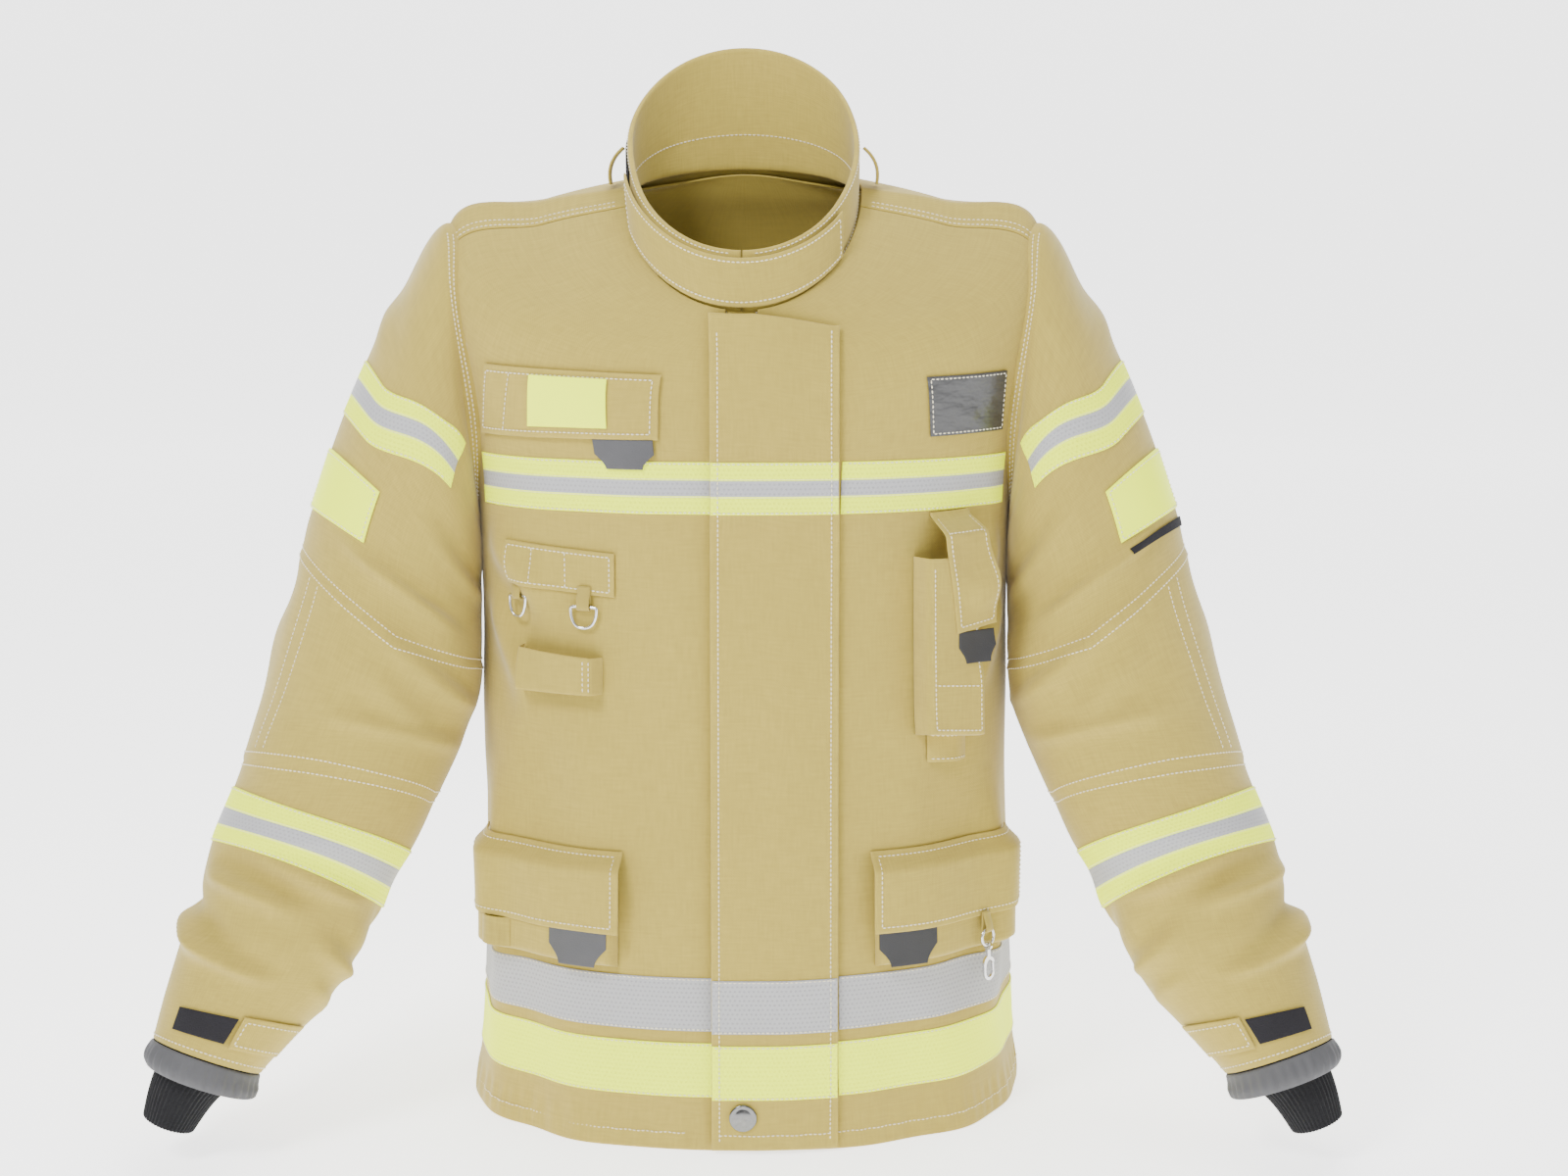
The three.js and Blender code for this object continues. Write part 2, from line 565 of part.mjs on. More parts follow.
// A bellows pocket: an open-topped box of cloth. Its front wall stops a little below its sides.
function bellows(cornerList, nx, nz, depth, wall, mouth) {
  const whole = onBody(cornerList, nx, nz, LIE, depth);
  const [a, b, c, d] = cornerList;
  const turn = (wall / WALL_TURN) * (180 / Math.PI);
  const past = 12; // the room runs out of the pocket's top
  const inside = (foot) => [
    [a[0] + turn, a[1] + foot],
    [b[0] - turn, b[1] + foot],
    [c[0] - turn, c[1] + past],
    [d[0] + turn, d[1] + past],
  ];
  const room = onBody(inside(wall), nx, nz, LIE + wall, depth - wall);
  const gate = onBody(inside(mouth), nx, nz, depth - wall - 1, depth + 2);
  return cut(whole, room, gate);
}
// A flap sewn above a pocket: it leaves the body at its top edge and lies over the pocket.
const hangingFlap = (cornerList, nx, depth, ramp) => {
  const lift = (w) => lerp(depth + 2 * GAP, LIE, smooth((w - (1 - ramp)) / ramp));
  return sheet(bodyAt, corners(cornerList), nx, 7, (s, w) => lift(w), (s, w) => lift(w) + FLAP);
};
const radioPocket = [[-54.8, 366], [-37.2, 358], [-38.2, 537], [-55.2, 539]];
add("radio_pocket", bellows(radioPocket, 3, 4, RADIO_DEPTH, POCKET_WALL, 160), "cloth");
const radioFlap = [[-46.7, 458], [-33.5, 464], [-37.2, 566], [-50.8, 565]];
add("radio_flap", hangingFlap(radioFlap, 4, RADIO_DEPTH, 0.2), "cloth");
const radioPull = tabCorners(-45.5, -35, 457, 434);
add("radio_tab", onBody(radioPull, 3, 2, RADIO_DEPTH + GAP, RADIO_DEPTH + GAP + TAB), "dark");

const pockets = {
  right: { outer: -163, inner: -113.5, tab: [-128.5, -115.5], look: "tab", flapOut: -164, flapIn: -112.3 },
  left: { outer: -17, inner: -65, tab: [-64, -51], look: "dark", flapOut: -16.5, flapIn: -66 },
};
const POCKET_Z = [157, 243];
const POCKET_FLAP_Z = [190, 263];
for (const [side, p] of Object.entries(pockets)) {
  const [from, to] = [Math.min(p.outer, p.inner), Math.max(p.outer, p.inner)];
  const [f0, f1] = [Math.min(p.flapOut, p.flapIn), Math.max(p.flapOut, p.flapIn)];
  const [low, high] = POCKET_Z;
  const pocketCorners = [[from, low], [to, low], [to, high], [from, high]];
  add(side + "_pocket", bellows(pocketCorners, 7, 2, POCKET_DEPTH, POCKET_WALL, 68), "cloth");
  const [flapLow, flapHigh] = POCKET_FLAP_Z;
  const flapCorners = [[f0, flapLow], [f1, flapLow], [f1, flapHigh], [f0, flapHigh]];
  add(side + "_pocket_flap", hangingFlap(flapCorners, 8, POCKET_DEPTH, 0.24), "cloth");
  const pull = tabCorners(p.tab[0], p.tab[1], flapLow - GAP, 161);
  add(side + "_pocket_tab", onBody(pull, 3, 2, POCKET_DEPTH + GAP, POCKET_DEPTH + GAP + TAB), p.look);
}
const archAt = (s) => 5 * Math.sin(Math.PI * s);
const smallLoop = sheet(bodyAt, corners([[-150.5, 165], [-140, 165], [-140, 180], [-150.5, 180]]), 6, 1,
  (s) => POCKET_DEPTH + GAP + archAt(s), (s) => POCKET_DEPTH + GAP + 1.6 + archAt(s));
add("right_pocket_loop", smallLoop, "webbing");

// Left pocket: a hanging loop, its ring, and the snap hook with a sprung gate.
const HOOK_X = 211;
const HOOK_Z = 188.5;
const hookSeat = seat(HOOK_X, HOOK_Z, POCKET_DEPTH + 1.2);
add("left_pocket_loop", placed(foldedLoop(7, 14, LOOP_DEPTH), hookSeat), "webbing");
const ringMid = LOOP_DEPTH / 2;
const ringDrop = eyeBelow(14);
const RING_R = 8;
add("hook_ring", placed(wireRing(RING_R, 1).translate(0, ringDrop, ringMid), hookSeat), "metal");
// The hook's body: a small eye across the ring's lower wire, a stem and an open bow.
const eyeDrop = ringDrop - 2 * RING_R;
const stem = new THREE.Shape();
stem.absarc(0, 0, 4.6, 0, 2 * Math.PI, false);
const stemHole = new THREE.Path();
stemHole.absarc(0, 0, 2.2, 0, 2 * Math.PI, true);
stem.holes.push(stemHole);
const HOOK_THICK = 2.6;
const plate = (outline) => {
  const g = new THREE.ExtrudeGeometry(outline, { depth: HOOK_THICK, bevelEnabled: false, curveSegments: 5 });
  return g.translate(0, 0, -HOOK_THICK / 2);
};
const bow = new THREE.Shape();
bow.moveTo(-2, -3.4);
bow.lineTo(2, -3.4);
bow.lineTo(2, -11);
bow.quadraticCurveTo(7, -13, 7, -17);
bow.lineTo(4.4, -17);
bow.quadraticCurveTo(4.4, -14.5, 0, -13.5);
bow.quadraticCurveTo(-4.4, -15, -4.4, -22);
bow.absarc(0, -26, 4.4, Math.PI, 2 * Math.PI, false);
bow.lineTo(7, -26);
bow.absarc(0, -26, 7, 0, Math.PI, true);
bow.lineTo(-7, -18);
bow.quadraticCurveTo(-7, -12, -2, -10);
bow.closePath();
const hookTurn = new THREE.Matrix4().makeRotationY(Math.PI / 2);
const eyePart = plate(stem).applyMatrix4(hookTurn);
const hookGeometry = join(eyePart, plate(bow)).translate(0, eyeDrop, ringMid);
add("hook_body", placed(hookGeometry, hookSeat), "metal");
const gate = box(2, 8.2, 2, 5.7, eyeDrop - 21.6, ringMid);
add("hook_gate", placed(gate, hookSeat), "metal");

// Sleeves with their bands, plates, cuff straps, gaiters and wristlets.
const core = plug(bodyRow, -0.3, bodyTop, 36, 12, -CLOTH);
const bandTop = (phi) => lerp(3.18, 1.43, smooth((Math.abs(phi) - 42) / 82));
const UPPER_RISE = 0.7; // more height where the sleeve swells out of the armhole
const bandFoot = (phi) => lerp(3.95, 3, smooth((Math.abs(phi) - 48) / 75));
const lowBand = (phi) => 9.2 + 0.95 * Math.sin(rad(phi) / 2) ** 2;
const onSleeve = (side, map, nx, nz, inner, outer, ring) =>
  sheet(sleeveAt[side], map, nx, nz, inner, outer, ring);
for (const side of ["right", "left"]) {
  const whole = (s, w) => [360 * s, lerp(SLEEVE_FROM, CUFF_T, w)];
  const tube = onSleeve(side, whole, SLEEVE_ROUND, SLEEVE_ROWS, -CLOTH, 0, true);
  add(side + "_sleeve", cut(tube, core), "cloth");
  const upper = onSleeve(side, (s, w) => {
    const phi = lerp(-111, 111, s);
    return [phi, lerp(bandFoot(phi), bandTop(phi), w)];
  }, 16, 4, SLEEVE_LIE + UPPER_RISE, SLEEVE_LIE + UPPER_RISE + BAND);
  add(side + "_upper_band", upper, "yellow");
  const lower = onSleeve(side, (s, w) => {
    const phi = 360 * s;
    return [phi, lowBand(phi) + 0.88 * w];
  }, 24, 1, SLEEVE_LIE, SLEEVE_LIE + BAND, true);
  add(side + "_lower_band", lower, "yellow");
  const plateMap = corners([[2, 5.15], [71, 5.1], [71, 4.3], [-4, 4.38]]);
  add(side + "_sleeve_plate", onSleeve(side, plateMap, 6, 1, SLEEVE_LIE, SLEEVE_LIE + 1.2), "yellow");
  const strapMap = corners([[109, 13.75], [168, 13.72], [168, 13.36], [107, 13.38]]);
  add(side + "_cuff_strap", onSleeve(side, strapMap, 6, 1, SLEEVE_LIE, SLEEVE_LIE + 2), "cloth");
  const gaiterMap = (s, w) => [360 * s, lerp(CUFF_T + 0.014, 14.75, w)];
  const gaiter = onSleeve(side, gaiterMap, SLEEVE_ROUND, 1, -CLOTH, 1.5, true);
  add(side + "_cuff_gaiter", gaiter, "tab");
  const knit = sheet(wristAt[side], (s, w) => [360 * s, 3 * w], SLEEVE_ROUND, 3, -2, 0, true);
  add(side + "_wristlet", knit, "knit");
}

// The origin is the middle of the bounding box's foot.
const extent = new THREE.Box3().setFromObject(group, true);
const middle = extent.getCenter(new THREE.Vector3());
group.position.set(-middle.x, -middle.y, -extent.min.z);

export default group;
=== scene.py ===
"""A firefighter's turnout coat, closed and standing on its hem, dressed over its CAD frame."""

import math

import bmesh
import bpy
import numpy as np
from mathutils import Matrix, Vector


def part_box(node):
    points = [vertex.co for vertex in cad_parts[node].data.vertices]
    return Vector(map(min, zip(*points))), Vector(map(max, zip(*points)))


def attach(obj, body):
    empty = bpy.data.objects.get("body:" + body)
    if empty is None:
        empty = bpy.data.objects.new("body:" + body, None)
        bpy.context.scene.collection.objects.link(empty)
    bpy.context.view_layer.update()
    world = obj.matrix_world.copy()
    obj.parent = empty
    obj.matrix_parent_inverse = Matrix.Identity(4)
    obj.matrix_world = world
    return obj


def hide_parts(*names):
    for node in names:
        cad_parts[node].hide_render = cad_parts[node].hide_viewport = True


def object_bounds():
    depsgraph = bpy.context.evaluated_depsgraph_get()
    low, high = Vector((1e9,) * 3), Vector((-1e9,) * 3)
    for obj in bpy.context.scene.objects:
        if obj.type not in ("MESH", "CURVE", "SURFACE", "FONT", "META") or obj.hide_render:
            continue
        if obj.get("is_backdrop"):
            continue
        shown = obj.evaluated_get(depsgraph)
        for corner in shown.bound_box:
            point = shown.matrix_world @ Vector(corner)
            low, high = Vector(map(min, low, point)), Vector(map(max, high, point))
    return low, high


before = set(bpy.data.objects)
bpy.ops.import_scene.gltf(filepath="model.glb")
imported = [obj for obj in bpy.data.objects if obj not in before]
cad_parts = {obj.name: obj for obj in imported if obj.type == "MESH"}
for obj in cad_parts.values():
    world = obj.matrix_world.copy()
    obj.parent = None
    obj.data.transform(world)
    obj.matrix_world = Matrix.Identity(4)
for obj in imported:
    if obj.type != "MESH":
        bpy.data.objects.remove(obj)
CAD_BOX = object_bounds()

bl_info = {
    "name": "Turnout coat",
    "version": (1, 0, 0),
    "blender": (4, 5, 0),
    "location": "View3D > Sidebar > Coat",
    "description": "Builds the cloth, trims and hardware of a turnout coat over its frame",
    "category": "Object",
}

# ---------------------------------------------------------------- sizes shared with the frame, mm
GAP = 0.3
HEM_Z = -10.0
BACK_AT_HEM = 165.0
FRONT_AT_HEM = 178.0
FRONT_SLOPE = 0.08
ZIP_HALF = 14.0
FLAP_FREE_X, FLAP_SEWN_X = -28.0, 85.0
FLAP_FOOT_Z, FLAP_TOP_Z = -7.0, 730.0
ZIP_TOP_Z, ZIP_FOOT_Z = 728.0, 52.0
CHEST_BAND_Z, SILVER_BAND_Z, YELLOW_BAND_Z = (567.0, 613.0), (101.0, 150.0), (40.0, 90.0)
POCKET_DEPTH, RADIO_DEPTH, TORCH_DEPTH = 14.0, 28.0, 17.0
POCKET_Z, POCKET_FLAP_Z = (157.0, 243.0), (190.0, 263.0)
SNAP_Z = 24.0
CUFF_T = 14.0
COLLAR_SPLIT = 0.35
HEM_STITCH_Z = 6.0
# The frame's hem foot is its origin, so the sizes above are moved by these millimetres.
SHIFT = np.array([0.0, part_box("back_panel")[1].y * 1000 - BACK_AT_HEM, -HEM_Z])

# Rings of the body: side z, half width, front z, back depth, back z and squareness.
BODY_RINGS = np.array([
    [HEM_Z, 265, HEM_Z, 165, HEM_Z, 2.3],
    [90, 254, 90, 150, 90, 2.3],
    [380, 248, 380, 138, 380, 2.3],
    [600, 250, 590, 142, 610, 2.3],
    [812, 272, 690, 118, 790, 2.3],
    [838, 185, 722, 95, 850, 2.15],
    [850, 108, 745, 85, 872, 2],
], float)
COLLAR_RINGS = np.array([
    [844, 105, 739, 82, 866, 2, 115],
    [870, 106, 768, 92, 925, 2, 112],
    [893, 106, 797, 96, 980, 2, 104],
], float)
# Rings of a sleeve: outer edge x and z, inner edge x and z, the ring's y and half its depth.
SLEEVE_RINGS = np.array([
    [186, 742, 197, 610, 0, 40],
    [230, 780, 222, 580, 0, 52],
    [274, 818, 247, 550, 0, 66],
    [317, 756, 247, 535, -5, 82],
    [344, 703, 246, 520, -10, 86],
    [371, 641, 246, 492, -18, 84],
    [398, 566, 246, 458, -27, 82],
    [408, 527, 246, 425, -34, 82],
    [421, 474, 250, 382, -45, 84],
    [448, 377, 262, 349, -60, 82],
    [465, 317, 281, 307, -80, 78],
    [486, 262, 303, 259, -100, 75],
    [494, 224, 335, 206, -120, 70],
    [506, 189, 350, 164, -140, 64],
    [518, 149, 375, 127, -155, 58],
    [529, 100, 435, 65, -180, 48],
    [534, 74, 440, 40, -188, 46],
], float)
WRIST_RINGS = np.array([
    [522.8, 109, 431, 75, -177, 42],
    [524, 86, 452, 60, -184, 34],
    [529, 66, 472, 46, -189, 28],
    [537, 34, 494, 16, -195, 24],
], float)


# ---------------------------------------------------------------- what a user would change
class CoatSizes(bpy.types.PropertyGroup):
    """Sizes of the coat's cloth and thread."""

    cloth: bpy.props.FloatProperty(
        name="Cloth", description="Thickness of the quilted outer cloth", default=0.003,
        min=0.001, unit="LENGTH")
    folds: bpy.props.FloatProperty(
        name="Folds", description="Strength of the folds in the cloth", default=1.5, min=0.0, max=2.0)
    stitch: bpy.props.FloatProperty(
        name="Stitch", description="Distance from one stitch to the next", default=0.0042,
        min=0.002, unit="LENGTH")
    thread: bpy.props.FloatProperty(
        name="Thread", description="Width of the sewing thread", default=0.0014, min=0.0004,
        unit="LENGTH")


class CoatColours(bpy.types.PropertyGroup):
    """Colours of the coat's materials."""

    cloth: bpy.props.FloatVectorProperty(
        name="Cloth", description="Colour of the outer cloth", default=(0.44, 0.335, 0.062),
        size=3, min=0, max=1, subtype="COLOR")
    yellow: bpy.props.FloatVectorProperty(
        name="Yellow tape", description="Colour of the fluorescent tape", default=(0.83, 1.0, 0.0),
        size=3, min=0, max=1, subtype="COLOR")
    silver: bpy.props.FloatVectorProperty(
        name="Silver tape", description="Colour of the reflective tape", default=(0.42, 0.42, 0.43),
        size=3, min=0, max=1, subtype="COLOR")
    thread: bpy.props.FloatVectorProperty(
        name="Thread", description="Colour of the sewing thread", default=(0.86, 0.8, 0.6),
        size=3, min=0, max=1, subtype="COLOR")


class CoatStage(bpy.types.PropertyGroup):
    """The camera and the light."""

    lens: bpy.props.FloatProperty(
        name="Lens", description="Focal length on a 36 mm sensor", default=50.0, min=10, unit="CAMERA")
    away: bpy.props.FloatProperty(
        name="Distance", description="How far in front of the coat the camera stands", default=1.996,
        unit="LENGTH")
    height: bpy.props.FloatProperty(
        name="Height", description="Height of the camera", default=0.863, unit="LENGTH")
    tilt: bpy.props.FloatProperty(
        name="Tilt", description="How far the camera looks down", default=math.radians(10.5),
        subtype="ANGLE")
    light: bpy.props.FloatProperty(
        name="Light", description="Strength of the studio light", default=1.0, min=0)


# ---------------------------------------------------------------- curves and surfaces
def smooth(x):
    """Rises from 0 to 1 along 3x^2 - 2x^3."""
    x = np.clip(x, 0, 1)
    return x * x * (3 - 2 * x)


def lerp(a, b, s):
    """The share s of the way from a to b."""
    return a + (b - a) * s


def row_at(rows, t):
    """A smooth curve through rows of numbers, read at row number t: a cubic between two rows,
    whose slopes are those of the rows on either side."""
    last = len(rows) - 1
    low, high = np.maximum(np.arange(last + 1) - 1, 0), np.minimum(np.arange(last + 1) + 1, last)
    slope = (rows[high] - rows[low]) / (high - low)[:, None]
    i = np.clip(np.floor(t), 0, last - 1).astype(int)
    f = (t - i)[..., None]
    at = (2 * f**3 - 3 * f**2 + 1) * rows[i] + (-2 * f**3 + 3 * f**2) * rows[i + 1]
    return at + (f**3 - 2 * f**2 + f) * slope[i] + (f**3 - f**2) * slope[i + 1]


def ring_point(row, front, theta):
    """A point of a leaning ring |x/half|^q + |y/depth|^q = 1. Its height goes from the side's to the
    front's or back's in the same way as y does."""
    c, s = np.cos(np.radians(theta)), np.sin(np.radians(theta))
    q = 2 / row[..., 5]
    along = np.abs(s) ** q
    y = np.where(s < 0, -front, row[..., 3]) * along
    z = row[..., 0] + np.where(s < 0, row[..., 2] - row[..., 0], row[..., 4] - row[..., 0]) * along
    return np.stack([row[..., 1] * np.sign(c) * np.abs(c) ** q, y, z], -1)


def halved(low, high, below):
    """Halves the span between two arrays until it meets the place where below() turns false."""
    for _ in range(24):
        middle = (low + high) / 2
        under = below(middle)
        low, high = np.where(under, middle, low), np.where(under, high, middle)
    return (low + high) / 2


def folded(u, v, turn, folds):
    """The sum of cloth folds over u and v in mm. Each is a bell-shaped ridge along a bowed line that
    fades at its ends, with a shallower valley beside it. turn is the length once round in u."""
    total = np.zeros(np.broadcast(u, v).shape)
    for u0, v0, u1, v1, width, height in folds:
        du, dv = u1 - u0, v1 - v0
        length = math.hypot(du, dv)
        a = (u - (u0 + u1) / 2 + turn / 2) % turn - turn / 2 + du / 2
        b = v - v0
        along = (a * du + b * dv) / length**2
        across = (a * dv - b * du) / length + 0.14 * length * along * (1 - along)
        fade = smooth(along / 0.35) * smooth((1 - along) / 0.35)
        ridge = np.exp(-((across / width) ** 2))
        valley = np.exp(-(((across - 2 * width) / (1.4 * width)) ** 2))
        total += height * fade * (ridge - 0.55 * valley)
    return total


def rolling(u, v, seed, long):
    """A soft unevenness: nine sine waves of random direction, with lengths about the one given."""
    pick = np.random.default_rng(seed)
    total = np.zeros(np.broadcast(u, v).shape)
    for _ in range(9):
        turn, size, start = pick.uniform(0, math.pi), long * pick.uniform(0.6, 1.6), pick.uniform(0, 6.28)
        total += np.sin(2 * math.pi * (u * math.cos(turn) + v * math.sin(turn)) / size + start)
    return total / 9


FOLD_SHARE = [1.0]


class Body:
    """The coat's trunk. u is the angle round it, 0 at the wearer's left and -90 in front, and v is
    the ring number, or the height in mm when by_height is set."""

    MM = 3.8  # millimetres of cloth for one degree
    FOLDS = [
        # u and v of both ends in mm, width and height
        (-160 * MM, 545, -128 * MM, 470, 20, 6.5),
        (-163 * MM, 500, -136 * MM, 380, 20, 5.6),
        (-20 * MM, 545, -46 * MM, 480, 20, 6.5),
        (-17 * MM, 500, -40 * MM, 390, 20, 5.6),
        (-112 * MM, 700, -106 * MM, 470, 26, 4.7),
        (-70 * MM, 690, -74 * MM, 470, 28, 4.0),
        (-158 * MM, 340, -150 * MM, 60, 26, 6.2),
        (-24 * MM, 330, -30 * MM, 60, 26, 6.2),
        (-125 * MM, 400, -118 * MM, 250, 26, 3.7),
        (-56 * MM, 400, -60 * MM, 250, 26, 3.7),
        (60 * MM, 560, 84 * MM, 180, 32, 7.8),
        (124 * MM, 560, 98 * MM, 180, 32, 7.8),
        (40 * MM, 700, 66 * MM, 620, 24, 6.2),
        (140 * MM, 700, 114 * MM, 620, 24, 6.2),
        (30 * MM, 400, 44 * MM, 120, 28, 6.2),
        (150 * MM, 400, 136 * MM, 120, 28, 6.2),
    ]

    def __init__(self, by_height):
        self.by_height = by_height

    def ring(self, theta, v):
        row = row_at(BODY_RINGS, v)
        return ring_point(row, FRONT_AT_HEM - FRONT_SLOPE * row[..., 2], theta)

    def point(self, theta, v):
        if not self.by_height:
            return self.ring(theta, v)
        theta, z = np.broadcast_arrays(theta, v)
        low, high = np.full(theta.shape, -0.5), np.full(theta.shape, len(BODY_RINGS) - 1.0)
        return self.ring(theta, halved(low, high, lambda r: self.ring(theta, r)[..., 2] < z))

    def middle(self, theta, v, p):
        return np.stack([p[..., 0] * 0, p[..., 0] * 0 + 5, p[..., 2] - 30], -1)

    def drape(self, theta, v, p):
        z = p[..., 2]
        u = theta * self.MM
        low = smooth((300 - z) / 300)
        calm = 0.25 + 0.75 * smooth((np.abs((theta + 90 + 180) % 360 - 180) - 10) / 40)
        wave = low * calm * (2.0 * np.sin(np.radians(9 * theta) + 1.1) + 1.3
                             * np.sin(np.radians(14 * theta) + z / 90))
        pucker = 0.55 * np.sin(np.radians(72 * theta) + 2 * np.sin(np.radians(10 * theta)))
        hem = pucker * smooth((30 - z) / 16) * smooth((z + 10) / 8)
        top = smooth((800 - z) / 60)
        return FOLD_SHARE[0] * (wave + hem + calm * top * (folded(u, z, 360 * self.MM, self.FOLDS)
                                                            + 1.3 * rolling(u, z, 4, 130)))


class Collar:
    """The standing collar. u is the angle round it and v goes from 0 at the neck to 1 at the rim."""

    def point(self, theta, w):
        row = row_at(COLLAR_RINGS, 2 * w)
        return ring_point(row, row[..., 6], theta)

    def middle(self, theta, w, p):
        return np.stack([p[..., 0] * 0, p[..., 0] * 0 - 8, p[..., 2]], -1)

    def drape(self, theta, w, p):
        return FOLD_SHARE[0] * smooth(w / 0.3) * 1.1 * rolling(theta * 1.9, w * 90, 8, 110)


class Tube:
    """A sleeve or a wristlet. u is the angle round it, 0 at its outer edge and 90 in front, and v is
    the ring number."""

    MM_ROUND, MM_RING = 1.35, 55.0
    FOLDS = [
        (15, 10.5, 120, 11.7, 11, 7.5), (60, 10.35, 165, 11.2, 9, 5.6), (-35, 11.2, 80, 12.6, 11, 7.0),
        (20, 12.0, 120, 12.9, 8, 4.6), (115, 11.8, 200, 12.6, 9, 4.4), (-80, 10.5, 0, 11.5, 10, 4.6),
        (180, 10.5, 255, 12.0, 11, 5.0), (225, 11.4, 310, 12.7, 10, 4.6), (130, 12.7, 200, 13.2, 7, 2.2),
        (70, 6.6, 185, 7.3, 10, 4.2), (60, 7.9, 190, 8.3, 11, 3.6), (80, 7.1, 140, 8.0, 11, 3.4),
        (190, 7.0, 265, 7.7, 12, 4.0), (200, 7.9, 270, 8.4, 11, 3.4), (90, 4.0, 185, 4.7, 12, 3.0),
        (50, 5.3, 150, 6.0, 14, 4.2), (-25, 2.0, 40, 3.0, 14, 3.2), (200, 4.4, 290, 5.2, 14, 3.4),
        (205, 5.5, 290, 6.0, 12, 2.6), (-60, 6.6, 20, 7.6, 16, 3.6), (-70, 8.0, 10, 8.5, 12, 3.2),
        (40, 9.9, 130, 10.25, 9, 2.0),
    ]

    def __init__(self, rows, side, lead, cloth=True):
        self.rows, self.side, self.lead, self.cloth = rows, side, lead, cloth

    def axis(self, t):
        r = row_at(self.rows, t + self.lead)
        return np.stack([(r[..., 0] + r[..., 2]) / 2, r[..., 4], (r[..., 1] + r[..., 3]) / 2], -1)

    def spokes(self, t):
        """The ring's outward and forward spokes. The forward one stands across the tube's run."""
        r = row_at(self.rows, t + self.lead)
        along = self.axis(t + 0.01) - self.axis(t - 0.01)
        out = np.stack([(r[..., 0] - r[..., 2]) / 2, r[..., 0] * 0, (r[..., 1] - r[..., 3]) / 2], -1)
        deep = np.cross(along, out)
        deep /= np.linalg.norm(deep, axis=-1, keepdims=True)
        return out, deep * (-np.sign(deep[..., 1]) * r[..., 5])[..., None]

    def point(self, phi, t):
        out, deep = self.spokes(t)
        a = np.radians(phi)[..., None]
        p = self.axis(t) + out * np.cos(a) + deep * np.sin(a)
        return p * np.array([self.side, 1, 1])

    def middle(self, phi, t, p):
        return self.axis(t) * np.array([self.side, 1, 1])

    def drape(self, phi, t, p):
        if not self.cloth:
            return 0 * p[..., 0]
        folds = [(a * self.MM_ROUND, b * self.MM_RING, c * self.MM_ROUND, d * self.MM_RING, w, h)
                 for a, b, c, d, w, h in self.FOLDS]
        # The two sleeves crumple alike, but not as mirror pictures.
        u = (phi + (0 if self.side < 0 else 11)) * self.MM_ROUND
        v = (t + (0 if self.side < 0 else 0.12)) * self.MM_RING
        rest = smooth((t - 0.8) / 0.8) * smooth((CUFF_T - 0.35 - t) / 0.5)
        banded = 1 - 0.75 * np.exp(-(((t - 9.75) / 0.75) ** 2)) - 0.5 * np.exp(-(((t - 3.0) / 0.9) ** 2))
        soft = 0.9 * rolling(u, v, 12 if self.side < 0 else 13, 85)
        return FOLD_SHARE[0] * rest * banded * (folded(u, v, 360 * self.MM_ROUND, folds) + soft)


BODY, BODY_AT, COLLAR = Body(False), Body(True), Collar()
SLEEVES = {"right": Tube(SLEEVE_RINGS, -1, 1), "left": Tube(SLEEVE_RINGS, 1, 1)}
WRISTS = {"right": Tube(WRIST_RINGS, -1, 0, False), "left": Tube(WRIST_RINGS, 1, 0, False)}


def theta_at(x, z):
    """The angle at which the front stands at x and height z. The ring and the angle are found in
    turns: the ring from the height at the last angle, and the angle from the ring's own formula."""
    x, z = np.broadcast_arrays(np.asarray(x, float), np.asarray(z, float))
    theta = np.full(x.shape, -90.0)
    low, high = np.full(x.shape, -0.5), np.full(x.shape, len(BODY_RINGS) - 1.0)
    for _ in range(9):
        ring = halved(low, high, lambda r: BODY.ring(theta, r)[..., 2] < z)
        row = row_at(BODY_RINGS, ring)
        share = np.clip(np.abs(x) / row[..., 1], 0, 1) ** (row[..., 5] / 2)
        theta = -90 + np.sign(x) * np.degrees(np.arcsin(share))
    return theta


def facing(surface, u, v):
    """Points of a surface with their outward normals: the cross product of its two slopes, turned
    away from the surface's middle line by the vote of all points."""
    e, f = 0.05, 1e-3 if not getattr(surface, "by_height", False) else 0.1
    p = surface.point(u, v)
    a = surface.point(u + e, v) - surface.point(u - e, v)
    b = surface.point(u, v + f) - surface.point(u, v - f)
    n = np.cross(a, b)
    n /= np.maximum(np.linalg.norm(n, axis=-1, keepdims=True), 1e-12)
    vote = np.sum(n * (p - surface.middle(u, v, p)))
    return p, n * (1 if vote > 0 else -1)


def lifted(surface, u, v, offset):
    """Points at an offset over the draped surface, with their normals."""
    u, v = np.broadcast_arrays(np.asarray(u, float), np.asarray(v, float))
    p, n = facing(surface, u, v)
    return p + n * (surface.drape(u, v, p) + offset)[..., None], n


def seat(x, z, offset):
    """The frame on the front at x and z: its axes run along the cloth, up it and out of it."""
    at = lambda a, b: BODY_AT.point(theta_at(a, b), np.asarray(float(b)))
    p = at(x, z)
    along = at(x + 1, z) - at(x - 1, z)
    along /= np.linalg.norm(along)
    up = at(x, z + 1) - at(x, z - 1)
    out = np.cross(along, up)
    out /= np.linalg.norm(out)
    out *= -np.sign(out[1])
    above = np.cross(out, along)
    return np.stack([along, above, out]), p + out * offset


